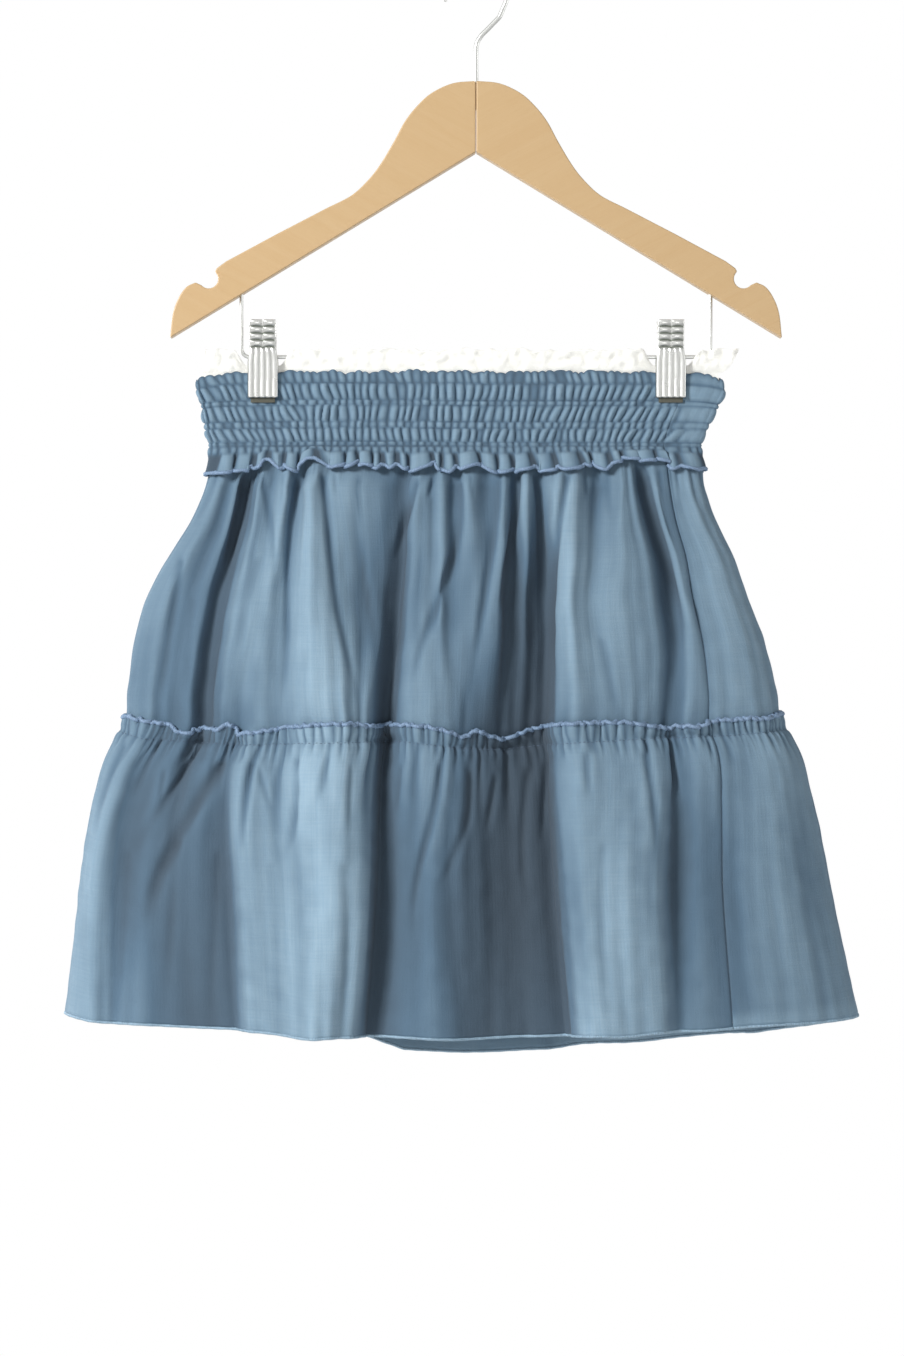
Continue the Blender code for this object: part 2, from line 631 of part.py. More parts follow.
def make_hook(material, parent):
    """The hook's stem rises from the crown, swings out to the right and curls back over the rail."""
    centre = (0, HOOK_WIRE / 2 - HOOK_RADIUS)
    stem = [(0, HOOK_BOTTOM), (0, -76), (0, -57), (2.4, -50), (8.2, -43.8), (14.6, -37.2)]
    curl = arc(centre, HOOK_RADIUS, -24, 205, 16)
    make_wire("hanger_hook", [*smooth_line(stem, 2), *curl], HOOK_WIRE, material, parent)


def make_rod(material, parent):
    """The clip rod drops from one arm, runs level behind the clips' pivots and rises into the other."""
    left = arc((-ROD_HALF_SPAN + ROD_BEND, ROD_Z + ROD_BEND), ROD_BEND, 180, 270, 4)
    right = [(-x, z) for x, z in reversed(left)]
    path = [(-ROD_HALF_SPAN, ROD_TOP), *left, *right, (ROD_HALF_SPAN, ROD_TOP)]
    make_wire("clip_rod", path, ROD_WIRE, material, parent)


def jaw_lean(z):
    """How far the inside of a jaw stands from the clip's middle plane at height z above its pivot."""
    return np.interp(z, (JAW_BOTTOM, -14.0, JAW_BEND, JAW_TOP), (4.0, 4.1, 5.2, 9.6))


def jaw_rows():
    """Outer and inner rows of a front jaw: a thumb plate with two columns of bumps over a fluted lip."""
    outer, inner = [], []
    thumb = np.linspace(-1, 1, 5)
    across_thumb = np.abs(np.sin(np.pi * thumb)) ** 0.5
    for k in range(9):
        z = JAW_TOP + (JAW_BEND - JAW_TOP) * k / 8
        rise = THUMB_BUMP * across_thumb * (1.0 if k % 2 else 0.1)
        outer.append(sheet_row(thumb * THUMB_HALF_WIDTH, z, JAW_SHEET + rise))
    lip = np.linspace(-1, 1, 11)
    flute = np.where(np.arange(11) % 2 == 1, 1.0, 0.1)
    for share in (0.08, 0.5, 1.0):
        z = JAW_BEND + (JAW_BOTTOM - JAW_BEND) * share
        half = THUMB_HALF_WIDTH + (LIP_HALF_WIDTH - THUMB_HALF_WIDTH) * share
        outer.append(sheet_row(lip * half, z, JAW_SHEET + LIP_RIB * flute))
    for z, half in ((JAW_TOP, THUMB_HALF_WIDTH), (JAW_BEND, THUMB_HALF_WIDTH), (JAW_BOTTOM, LIP_HALF_WIDTH)):
        inner.append(sheet_row(np.linspace(-1, 1, 3) * half, z, 0.0))
    return outer, inner


def sheet_row(x, z, rise):
    y = -jaw_lean(z) - rise
    return np.stack([x, y * np.ones(len(x)), z * np.ones(len(x))], axis=1)


def box(name, low, high, material=None, parent=None):
    bm = bmesh.new()
    bmesh.ops.create_cube(bm, size=1)
    low, high = np.array(low, float), np.array(high, float)
    bmesh.ops.scale(bm, vec=high - low, verts=bm.verts)
    bmesh.ops.translate(bm, vec=(low + high) / 2, verts=bm.verts)
    mesh = finish_mesh(name, bm)
    if material:
        return new_object(name, mesh, material, parent)
    obj = bpy.data.objects.new(name, mesh)
    obj.hide_render = True
    obj.display_type = "WIRE"
    obj.parent = parent
    bpy.data.collections["cutters"].objects.link(obj)
    return obj


def make_jaw(clip, face, metal, parent):
    """One jaw with its two pivot ears; the back jaw is the front one turned round, with its ears nearer."""
    outer, inner = jaw_rows()
    jaw = wall(f"clip_{clip}_jaw_{face}", outer, inner, metal, parent)
    for sign in (-1, 1):
        x = sign * EAR_X[face]
        ear = box(
            f"ear_{clip}_{face}_{'right' if sign > 0 else 'left'}",
            (x - EAR_SHEET / 2, -jaw_lean(0) - JAW_SHEET / 2, -EAR_HALF_HEIGHT),
            (x + EAR_SHEET / 2, EAR_REACH, EAR_HALF_HEIGHT),
            parent=jaw,
        )
        weld = jaw.modifiers.new(ear.name, "BOOLEAN")
        weld.operation = "UNION"
        weld.object = ear
    pivot = make_bore(f"pivot_{clip}_{face}", 0, 12, -12, ROD_WIRE / 2 + WIRE_CLEARANCE)
    pivot.rotation_euler = (0, math.pi / 2, 0)
    pivot.parent = jaw
    drill = jaw.modifiers.new("pivot_hole", "BOOLEAN")
    drill.object = pivot
    if face == "back":
        jaw.rotation_euler = (0, 0, math.pi)


def make_spring(clip, metal, parent):
    """A bent strip round the rod that pushes the two thumb plates apart."""
    lower = arc((0, 0.4), 3.0, 190, 350, 8)
    path = np.array([(-6.75, 14.0), (-3.6, 3.6), *lower, (3.6, 3.6), (6.75, 14.0)])
    along = np.gradient(path, axis=0)
    along /= np.linalg.norm(along, axis=1, keepdims=True)
    side = np.stack([-along[:, 1], along[:, 0]], axis=1) * SPRING_SHEET / 2
    half = SPRING_WIDTH / 2
    faces = []
    for edge in (path - side, path + side):
        faces.append([np.array([(-half, y, z), (half, y, z)]) for y, z in edge])
    wall(f"clip_{clip}_spring", faces[0], faces[1], metal, parent)


def make_clip(clip, metal, rubber, hanger):
    pivot = bpy.data.objects.new(f"clip_{clip}_pivot", None)
    pivot.location = (CLIP_X[clip] * MM, 0, ROD_Z * MM)
    pivot.parent = hanger
    bpy.data.collections["skirt_on_hanger"].objects.link(pivot)
    for face, sign in (("front", -1), ("back", 1)):
        make_jaw(clip, face, metal, pivot)
        near, far = sorted((sign * PAD_FACE, sign * (PAD_FACE + PAD_THICKNESS)))
        low = (-PAD_WIDTH / 2, near, PAD_BOTTOM)
        high = (PAD_WIDTH / 2, far, PAD_TOP)
        box(f"clip_{clip}_pad_{face}", low, high, rubber, pivot)
    make_spring(clip, metal, pivot)


def make_hanger(hanger):
    wood = material("wood", WOOD, 0.45, 0.0)
    metal = material("chromed_steel", CHROME, 0.18, 1.0)
    rubber = material("rubber_pad", RUBBER, 0.7, 0.0)
    hook_bore = make_bore("hook_bore", 0, -60, HOOK_BOTTOM - 1, HOOK_WIRE / 2 + WIRE_CLEARANCE)
    for name, side in (("left", -1), ("right", 1)):
        leg = make_bore(
            f"rod_bore_{name}", side * ROD_HALF_SPAN, ROD_TOP + 1, -240, ROD_WIRE / 2 + WIRE_CLEARANCE
        )
        make_arm(f"hanger_arm_{name}", side, wood, hanger, (hook_bore, leg))
    make_hook(metal, hanger)
    make_rod(metal, hanger)
    for clip in CLIP_X:
        make_clip(clip, metal, rubber, hanger)


def make_skirt(skirt):
    cotton = material("blue_cotton", BLUE, 0.85, 0.0)
    lining = material("cream_facing", CREAM, 0.9, 0.0)
    make_waistband(cotton, skirt)
    make_upper_tier(cotton, skirt)
    make_lower_tier(cotton, skirt)
    make_facing(lining, skirt)


def material(name, colour, roughness, metallic):
    made = bpy.data.materials.new(name)
    made.use_nodes = True
    shader = made.node_tree.nodes["Principled BSDF"]
    shader.inputs["Base Color"].default_value = (*colour, 1)
    shader.inputs["Roughness"].default_value = roughness
    shader.inputs["Metallic"].default_value = metallic
    return made


def main():
    for obj in list(bpy.data.objects):
        bpy.data.objects.remove(obj)
    for name in ("skirt_on_hanger", "cutters"):
        bpy.context.scene.collection.children.link(bpy.data.collections.new(name))
    for name, make in (("hanger", make_hanger), ("skirt", make_skirt)):
        empty = bpy.data.objects.new(name, None)
        bpy.data.collections["skirt_on_hanger"].objects.link(empty)
        make(empty)


main()
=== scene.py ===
"""The finished look of a tiered, shirred cotton skirt clipped to a wooden hanger.

Shapes are worked out in millimetres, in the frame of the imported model, and turned into metres
when a mesh is made. The front faces -Y and the rail that carries the hook is at the origin.
"""

import math

import bmesh
import bpy
import numpy as np
from bpy.props import FloatProperty, FloatVectorProperty, PointerProperty
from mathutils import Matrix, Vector


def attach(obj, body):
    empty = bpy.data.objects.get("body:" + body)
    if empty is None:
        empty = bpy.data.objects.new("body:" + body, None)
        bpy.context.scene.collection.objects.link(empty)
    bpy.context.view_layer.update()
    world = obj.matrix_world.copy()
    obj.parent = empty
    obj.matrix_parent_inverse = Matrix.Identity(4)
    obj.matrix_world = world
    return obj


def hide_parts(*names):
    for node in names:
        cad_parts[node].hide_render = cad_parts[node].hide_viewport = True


bl_info = {
    "name": "Tiered skirt on a wooden hanger",
    "version": (1, 0, 0),
    "blender": (4, 5, 0),
    "location": "3D View > Sidebar > Skirt",
    "description": "Dresses the packed skirt and hanger with cloth, wood, steel and a studio",
    "category": "Object",
}

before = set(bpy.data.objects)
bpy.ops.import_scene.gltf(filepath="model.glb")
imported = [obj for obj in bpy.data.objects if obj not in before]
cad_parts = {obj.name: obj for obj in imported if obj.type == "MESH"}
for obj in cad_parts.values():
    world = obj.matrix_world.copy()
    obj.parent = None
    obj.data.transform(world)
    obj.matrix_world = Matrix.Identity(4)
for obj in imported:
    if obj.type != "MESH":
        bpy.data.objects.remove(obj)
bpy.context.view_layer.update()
MM = 0.001

# Heights down from the rail, and offsets of the cloth from the skirt's common surface
BAND_TOP = -258.0
WAIST_SEAM = -305.0
LAST_ELASTIC = -303.8
TIER_SEAM = -486.5
HEM = -665.0
BACK_HEM_DROP = 18.0
BACK_DROP_FROM = -100.0
BACK_DROP_TO = -45.0
CORNER_DROP = 5.0
EDGE_LIFT_POWER = 1.8
UNDER_SEAMS = -0.3
CLOTH_WALL = 1.3
BAND_WALL = 1.2

# Shirring, counted in ribs from the skirt's left edge
RIBS_ACROSS = 62
RIBS_ROUND = 2 * RIBS_ACROSS
RIBS_BEFORE_SEAM = 58
RIBS_BEFORE_LEFT_SEAM = 122
RIBS_NEAR_EDGE = 3
EDGE_TURN = 0.40
RIB_HEIGHT = 3.0
VALLEY_WALL = 0.4
COLUMNS_PER_RIB = 8
BAND_ROWS = 46
TOP_ROLL = 0.9
ROLL_SHARES = (1.0, 0.66, 0.33)
# Places across the band, and how many ribs' width the ribs lean there
RIB_LEAN = ((-170, -150, -120, -95, 60, 90, 115, 125), (-0.5, -1.4, -1.2, 0, 0, 0.7, 0.9, 0))
# Each strip of the band between two stitched rows: its top, its bottom and how far it puffs out
STRIPS = (
    (-258.0, -264.6, 0.50),
    (-264.6, -275.0, 1.00),
    (-275.0, -278.2, 0.74),
    (-278.2, -288.4, 1.05),
    (-288.4, -292.6, 0.76),
    (-292.6, -301.2, 1.00),
    (-301.2, -303.8, 0.62),
)

# Frill, tiers and facing: heights or shares of their rows of points, and their edges
FRILL_ROWS = 14
FRILL_COVERS_TO = -312.0
UPPER_TIER_ROWS = np.concatenate([np.linspace(-299.0, -305.0, 4), np.linspace(-307.0, -487.5, 80)])
HEADING_ROWS = 9
BACK_HEADING = 8.2
LEAST_HEADING = 3.4
SHARES_TO_HEM = np.concatenate([[0.006, 0.014, 0.024], np.linspace(0.036, 1, 76)])[:, None]
STITCH_RADII = (0.12, 0.26, 0.26, 0.12)
FACING_ROWS = np.concatenate([np.linspace(-243.7, -258.0, 20), np.linspace(-260.0, -296.0, 14)])
FACING_COLUMNS = 330
FACING_BEHIND = 0.55
FACING_RIGHT = 163.0
FACING_WIDTH = 331.0
FACING_WALL = 0.6

# Side seams: half the groove's width, how far beside a seam the folds are full and the seam shows,
# and how much painted shade darkens the groove
SEAM_GROOVE = 0.9
FOLDS_FROM_SEAM = 5.0
SEAM_REACH = 12
SEAM_PAINTED_SHADE = 0.24

# Painted shade in the cloth's colour: how light the cloth is painted, by how far a broad fold stands out,
# then by how far a small one does, and the lightness at which the painted shade in the folds is
# half gone
FOLD_PAINTED_SHADE = ((-22, -10, -5, 0, 6, 12, 17), (0.05, 0.16, 0.32, 0.55, 0.74, 0.90, 1.0))
CREASE_PAINTED_SHADE = ((-2.6, -1.0, 0.0, 0.7), (0.34, 0.66, 0.96, 1.08))
HALF_PAINTED_SHADE = 0.35

# Hanger, with heights from the rail
ROD_Z = -248.0
ROD_WIRE = 2.4
ROD_HALF_SPAN = 145.4
ROD_BEND = 5.0
ROD_TOP = -202.0
HOOK_WIRE = 3.0
HOOK_RADIUS = 20.5
HOOK_BOTTOM = -95.0
WOOD_THICKNESS = 12.0
WOOD_ROUNDING = 2.2
GLUE_LINE = 0.15

# Clips, with heights from the rod, and the colour of the painted shade in their hollows
CLIP_X = {"left": -132.0, "right": 120.6}
JAW_TOP = 22.5
JAW_BEND = 6.0
JAW_BOTTOM = -25.4
JAW_SHEET = 0.8
THUMB_HALF_WIDTH = 8.0
LIP_HALF_WIDTH = 9.3
THUMB_BUMP = 1.2
LIP_RIB = 0.9
THUMB_ROWS = 4
LIP_FLUTES = 5
JAW_SIDE = 2.1
JAW_ROWS = np.concatenate([np.linspace(JAW_TOP, JAW_BEND, 41), np.linspace(JAW_BEND - 0.5, JAW_BOTTOM, 34)])
JAW_ACROSS = np.linspace(-1, 1, 41)
SHEET_GAUGE = 0.6
CLIP_HOLLOW_SHADE = (0.10, 0.115, 0.09)
PAD_WIDTH = 15.0
PAD_THICKNESS = 1.0
PAD_TOP = -16.5
PAD_BOTTOM = -28.5
PAD_FACE = 2.65
PAD_RIB = 0.16

# Studio, in metres apart from the camera's sensor, which is in millimetres: what the lights are aimed
# at, and the photograph's view
SKIRT_MIDDLE = (0, 0, -0.45)
SENSOR = 36.0
CAMERA_DISTANCE = 2.6
VIEW_HEIGHT = 0.8407
VIEW_X = -0.01488
VIEW_Z = -0.447

# The skirt's outline at falling heights: z, x of its left and right edges, half its depth, how square
# its section is, and how far its edges are lifted
OUTLINE = np.array((
    (-250, -171.0, 151.0, 1.1, 0.12, 0.0),
    (-258, -173.0, 152.0, 1.1, 0.12, 0.0),
    (-266, -172.0, 153.0, 1.1, 0.12, 0.0),
    (-276, -169.5, 149.0, 1.1, 0.12, 0.0),
    (-290, -167.0, 142.5, 2.8, 0.22, 0.0),
    (-305, -164.0, 138.0, 6.5, 0.34, 0.0),
    (-316, -165.0, 140.5, 10.5, 0.50, 0.6),
    (-330, -168.6, 142.6, 17.0, 0.65, 1.2),
    (-350, -176.7, 148.8, 26.0, 0.80, 2.0),
    (-375, -191.0, 160.0, 33.0, 0.85, 3.2),
    (-399, -203.4, 168.0, 38.0, 0.85, 4.3),
    (-430, -212.7, 179.2, 42.0, 0.85, 5.7),
    (-460, -217.0, 186.3, 44.0, 0.85, 6.9),
    (-487, -219.5, 191.6, 46.0, 0.85, 8.0),
    (-495, -223.8, 196.5, 49.0, 0.85, 8.1),
    (-505, -229.0, 200.9, 53.0, 0.85, 8.2),
    (-525, -234.7, 206.2, 57.0, 0.85, 8.4),
    (-550, -240.0, 212.0, 60.0, 0.85, 8.7),
    (-580, -244.0, 217.6, 62.0, 0.85, 9.1),
    (-610, -247.0, 223.6, 64.0, 0.85, 9.5),
    (-640, -250.1, 229.8, 66.0, 0.85, 9.9),
    (-665, -253.0, 235.0, 68.0, 0.85, 10.3),
))

# The front's folds from left to right: x of each ridge or valley at five heights, then how far it
# stands out there (a valley is negative)
FOLD_HEIGHTS = (-330.0, -399.0, -479.0, -566.0, -665.0)
FRONT_FOLDS = np.array((
    (-161, -190, -202, -234, -236, 3, 0, 0, 5, 4.5),
    (-151, -174, -187, -216, -221, -1, -4, -4, -6, -1.5),
    (-147, -166, -177, -201, -208, -0.5, -3, -3, -4.5, -1.5),
    (-142, -159, -167, -188, -188, -8.5, -9.5, -10, -6, -5.5),
    (-133, -143, -154, -171, -166, 1, 4, -2, -5.5, -7),
    (-126, -135, -145, -153, -147, -2.5, 3, -3.5, -7.5, -7),
    (-118, -128, -136, -141, -134, 3, 4, 2, 4, 6),
    (-110, -115, -119, -119, -115, -3, 0, 0.5, 3, 7.5),
    (-102, -101, -97, -98, -98, 6, 9, 10, 10, 11.5),
    (-92, -87, -82, -87, -89, 1.5, 4, 10.5, 12.5, 10.5),
    (-83, -77, -73, -77, -83, 2, -1, 6, 9, 6),
    (-61, -58, -65, -69, -77, -1, -5.5, 2.5, 5, 4),
    (-44, -47, -55, -59, -67, -5.5, -11, -12, -11, -9.5),
    (-37, -42, -48, -51, -58, -0.5, -2, -4, -9, -8),
    (-32, -36, -38, -41, -46, 0, 0.5, 1.5, -4.5, -3.5),
    (-27, -29, -29, -33, -36, -2.5, -0.5, 1.5, -4, -2.5),
    (-21, -22, -22, -26, -25, 0, 1.5, 0.5, -1.5, -2),
    (-14, -16, -15, -18, -15, -4.5, -1.5, -1, -5, -4),
    (-4, -3, -7, -10, -6, 2, -0.5, -4, -7, -7.5),
    (8, 7, 1, 2, 6, -4.5, -1.5, -6, -11, -10.5),
    (17, 14, 9, 15, 18, -0.5, -1, -8.5, -14.5, -12),
    (24, 20, 17, 24, 28, -5, -9.5, -13, -15.5, -13),
    (31, 30, 27, 33, 37, 3, -5.5, -15, -15.5, -11.5),
    (40, 42, 41, 47, 54, -4, -12.5, -17, -17, -12),
    (48, 49, 49, 54, 61, 3.5, 0, -2, -1, 1),
    (61, 58, 62, 65, 72, 4, 7, 4, 5, 9),
    (74, 69, 76, 77, 82, -4, 2.5, 2, 4.5, 9),
    (89, 84, 90, 92, 94, 1.5, 5, 2, 5.5, 7.5),
    (96, 107, 108, 108, 111, 0, 1.5, 0, 4, 5),
    (103, 118, 119, 119, 123, -5, -7.5, -3.5, -7.5, -2),
    (112, 128, 133, 136, 138, 3.5, 2, 1.5, -3, -0.5),
    (120, 133, 143, 150, 156, 1, 0, 0.5, -3.5, -2.5),
    (127, 148, 159, 167, 176, 2, 4, 2, 0, -0.5),
    (134, 158, 175, 192, 206, 3.5, 5.5, 4.5, 2.5, 1),
), float)
RIGHT_SEAM_FOLD = 32
BACK_FOLDS = 15
BACK_GATHER = (4.0, 4.5, 3.5, 3.0, 3.0)
BACK_BROAD = (0.0, 4.0, 6.0, 8.0, 8.0)
RELIEF_AT_SEAM = 0.03
FOLD_DEPTH = 1.35
FOLDS_ROUND = len(FRONT_FOLDS) + 1 + BACK_FOLDS + 1
LEFT_SEAM_FOLD = FOLDS_ROUND - 1

# Edges of the two small frills on the front, and the row that gathers the lower tier: x and height
WAIST_FRILL_EDGE = np.array((
    (-168.0, -319.3), (-166.2, -322.3), (-157.5, -321.4), (-143.2, -319.3), (-135.2, -319.3),
    (-130.2, -314.8), (-124.6, -316.8), (-109.1, -320.5), (-104.8, -315.6), (-101.7, -313.4),
    (-87.4, -319.3), (-68.8, -316.2), (-60.8, -319.3), (-48.4, -316.8), (-40.9, -320.5),
    (-26.7, -317.4), (-17.4, -321.2), (-8.7, -319.3), (-0.6, -316.8), (11.8, -321.2),
    (33.5, -320.5), (52.1, -319.9), (61.4, -319.3), (70.7, -316.2), (80.0, -319.9),
    (86.2, -314.7), (98.6, -312.6), (107.9, -312.8), (120.3, -314.1), (127.7, -318.7),
    (137.0, -316.8), (140.7, -313.9),
))
HEADING_EDGE = np.array((
    (-222.6, -471.8), (-216.4, -470.6), (-202.1, -474.3), (-189.7, -475.5), (-183.5, -480.2),
    (-179.2, -481.8), (-174.2, -479.0), (-164.9, -478.0), (-157.5, -479.9), (-153.8, -475.5),
    (-148.2, -477.4), (-144.5, -482.2), (-129.0, -479.9), (-115.3, -477.4), (-96.7, -475.5),
    (-78.1, -475.5), (-64.5, -476.8), (-52.1, -475.5), (-34.7, -476.2), (-22.3, -478.6),
    (-13.0, -482.0), (-8.7, -484.1), (-0.6, -479.3), (11.8, -485.0), (18.0, -485.0),
    (24.2, -482.0), (33.5, -479.0), (49.6, -475.5), (64.5, -474.9), (89.3, -474.3),
    (101.7, -475.5), (111.0, -477.6), (118.4, -478.5), (123.4, -476.4), (133.9, -477.6),
    (142.0, -474.3), (151.3, -471.8), (166.8, -473.1), (179.2, -471.8), (193.4, -469.3),
))
GATHERING_ROW = np.array((
    (-219.5, -479.5), (-202.1, -483.6), (-140.1, -487.3), (-109.1, -486.1), (-78.1, -485.5),
    (-47.1, -484.6), (-9.9, -489.0), (14.9, -490.0), (52.1, -486.1), (89.3, -484.2),
    (114.1, -482.8), (138.9, -482.1), (169.9, -480.0), (191.6, -478.2),
))
# The lower tier's strongest gathers on the front: x at the row, x lower down, depth and length
FRONT_GATHERS = (
    (-193, -194, 1.9, 45), (-174, -173, 1.6, 30), (-166, -196, 2.6, 80), (-151, -150, 1.8, 40),
    (-140, -142, 1.4, 18), (-132, -138, 2.6, 55), (-115, -121, 2.4, 60), (-106, -107, 1.5, 25),
    (-89, -88, 2.0, 50), (-81, -81, 1.1, 20), (-64, -65, 2.2, 60), (-36, -35, 2.2, 60),
    (-20, -22, 1.9, 45), (-13, -12, 1.5, 30), (2, 1, 2.2, 70), (18, 16, 2.2, 60),
    (33, 34, 1.7, 40), (43, 45, 1.6, 55), (52, 52, 1.4, 16), (71, 71, 1.3, 15),
    (84, 86, 1.1, 14), (102, 104, 1.9, 35), (117, 119, 2.6, 70), (140, 143, 1.8, 40),
    (157, 162, 2.4, 60), (173, 179, 2.0, 50), (182, 189, 2.2, 65),
)

# Single creases on the front: places down the valley, half its width and its depth
UPPER_CREASES = (
    (((-143.2, -321.8), (-148.8, -355.3), (-156.2, -392.5)), 2.6, 2.2),
    (((-109.1, -323.0), (-112.8, -349.1), (-115.3, -373.9), (-115.3, -411.1),
      (-119.0, -460.7)), 2.2, 2.4),
    (((-94.2, -321.8), (-91.1, -342.9), (-88.7, -369.5), (-85.6, -398.7), (-80.0, -423.5),
      (-71.3, -460.7)), 2.6, 2.3),
    (((-71.9, -323.0), (-72.5, -349.1), (-71.3, -373.9), (-65.7, -398.7), (-62.0, -429.7)), 2.2, 2),
    (((-86.8, -321.8), (-86.2, -334.2)), 1.6, 1.2),
    (((-131.4, -323.0), (-126.5, -349.1), (-124.0, -386.3)), 2.2, 1.3),
    (((-119.0, -321.8), (-119.7, -342.9)), 1.6, 1.2),
    (((-36.0, -325.5), (-44.6, -355.3), (-49.6, -373.9)), 2.6, 2.6),
    (((-26.0, -323.0), (-29.8, -336.7)), 1.5, 1.4),
    (((-11.2, -325.5), (-14.9, -373.9), (-27.3, -411.1), (-38.4, -448.3)), 2.8, 2.2),
    (((-3.7, -321.8), (-2.5, -336.7)), 1.5, 1.1),
    (((13.6, -323.0), (10.5, -361.5), (1.2, -423.5), (-3.7, -460.7)), 2.6, 2.4),
    (((25.4, -321.8), (23.6, -349.1), (19.8, -373.9), (14.9, -411.1)), 2.2, 2.4),
    (((37.2, -321.8), (39.7, -364.6), (40.3, -403.0)), 2.2, 2.2),
    (((57.0, -320.5), (50.8, -353.4), (46.5, -403.0), (47.1, -448.3)), 2.6, 3),
    (((67.6, -320.5), (68.2, -336.7)), 1.6, 1),
    (((80.6, -319.3), (81.8, -349.1)), 2.4, 1.1),
    (((101.7, -315.6), (109.7, -353.4), (122.1, -394.3), (130.8, -435.9)), 3.2, 2.6),
    (((114.1, -318.1), (116.6, -336.7)), 1.5, 0.9),
    (((166.2, -392.5), (171.1, -435.9)), 2.2, 1.2),
    (((-182.3, -373.9), (-188.5, -423.5), (-193.4, -460.7)), 3, 1.6),
    (((-173.6, -398.7), (-178.6, -454.5)), 2.4, 1),
    (((-132.7, -373.9), (-142.6, -423.5), (-147.6, -473.1)), 3.4, 1.1),
    (((76.9, -423.5), (88.0, -476.2)), 3.2, 1),
    (((138.9, -373.9), (148.8, -423.5), (152.5, -460.7)), 3.2, 0.9),
)
LOWER_CREASES = (
    (((-156.2, -499.1), (-171.7, -526.4), (-189.7, -559.9), (-200.9, -594.0)), 4.6, 3.8),
    (((-191.0, -504.1), (-193.4, -522.7)), 1.8, 1.5),
    (((-215.8, -488.6), (-225.7, -510.3), (-233.1, -541.3)), 2.4, 1.8),
    (((-137.0, -499.1), (-140.1, -522.7), (-142.0, -553.7)), 2.6, 2.4),
    (((-132.7, -501.0), (-124.0, -528.9)), 1.8, 1.2),
    (((-108.5, -496.0), (-108.5, -522.7), (-114.1, -553.7)), 2.4, 2.2),
    (((-90.5, -496.0), (-95.5, -522.7)), 2, 1.6),
    (((-76.9, -501.0), (-78.1, -541.3)), 1.8, 1.3),
    (((-45.9, -501.0), (-48.4, -528.9)), 1.8, 1.6),
    (((-22.3, -501.0), (-24.8, -522.7), (-32.2, -553.7), (-37.2, -603.3)), 2.4, 2.2),
    (((-3.7, -504.1), (-8.7, -541.3), (-22.3, -572.3)), 2.8, 2.2),
    (((11.2, -507.2), (6.2, -541.3)), 2.2, 2.2),
    (((32.2, -504.1), (28.5, -541.3), (31.0, -584.7)), 2.6, 2),
    (((43.4, -499.1), (39.7, -547.5)), 2.2, 1.8),
    (((66.3, -492.9), (67.6, -517.7)), 2, 2),
    (((101.7, -492.9), (107.3, -522.7), (109.1, -559.9)), 2.6, 2),
    (((119.0, -492.9), (124.0, -522.7)), 3, 1.6),
    (((160.6, -490.4), (163.7, -516.5)), 2.2, 1.3),
    (((192.2, -486.7), (202.1, -522.7), (208.3, -553.7)), 2.6, 1.6),
    (((-213.3, -553.7), (-215.8, -603.3), (-217.0, -646.7)), 3, 1),
    (((-181.7, -547.5), (-186.0, -597.1), (-188.5, -649.8)), 3.4, 1.2),
    (((-157.5, -553.7), (-159.3, -603.3), (-161.2, -652.9)), 3, 1),
    (((-124.0, -559.9), (-120.3, -609.5), (-119.0, -665.3)), 3.2, 1),
    (((-80.6, -559.9), (-79.4, -609.5), (-81.8, -659.1)), 3.4, 1.2),
    (((76.9, -547.5), (75.6, -597.1), (79.4, -652.9)), 3.2, 0.9),
    (((176.1, -553.7), (182.3, -603.3), (186.0, -646.7)), 4, 0.8),
)
# Where the waist frill is pinched flat between its puffs, from left to right on the front
FRILL_PINCHES = np.array((
    -166.2, -155.6, -143.2, -133.9, -123.4, -113.5, -102.9, -83.1, -76.3, -65.7, -59.5,
    -49.0, -42.2, -26.7, -19.2, -11.2, 4.3, 16.7, 26.0, 38.4, 53.9, 70.7,
    78.7, 90.5, 99.8, 122.1, 134.5,
))


# What each colour, length and power among the settings shares
COLOUR = {"subtype": "COLOR", "min": 0, "max": 1}
LENGTH = {"unit": "LENGTH", "subtype": "DISTANCE", "precision": 5}
POWER = {"unit": "POWER", "min": 0.0, "max": 500.0}


class SkirtCloth(bpy.types.PropertyGroup):
    """Sizes and colours of the cloth"""

    blue: FloatVectorProperty(
        name="Cotton", description="Colour of the dyed cotton", default=(0.318, 0.468, 0.596), **COLOUR
    )
    slub: FloatVectorProperty(
        name="Paler slubs", description="Colour of the thicker, paler threads",
        default=(0.378, 0.528, 0.642), **COLOUR
    )
    overlock: FloatVectorProperty(
        name="Overlock thread", description="Colour of the thread rolled over raw edges",
        default=(0.210, 0.310, 0.455), **COLOUR
    )
    cream: FloatVectorProperty(
        name="Facing", description="Colour of the facing inside the back of the band",
        default=(0.93, 0.925, 0.88), **COLOUR
    )
    wall: FloatProperty(
        name="Cloth wall", description="Thickness of the cotton with its finish",
        default=0.0009, min=0.0004, max=0.0013, **LENGTH
    )
    overlock_radius: FloatProperty(
        name="Overlocked edge", description="Radius of a rolled, overlocked edge",
        default=0.00092, min=0.0003, max=0.0012, **LENGTH
    )
    frill_wave: FloatProperty(
        name="Frill wave", description="How far the frills' waves stand out",
        default=0.0034, min=0.001, max=0.0045, **LENGTH
    )
    crease: FloatProperty(
        name="Creases", description="Height of the soft creases all over the cloth",
        default=0.00042, min=0.0, max=0.001, **LENGTH
    )


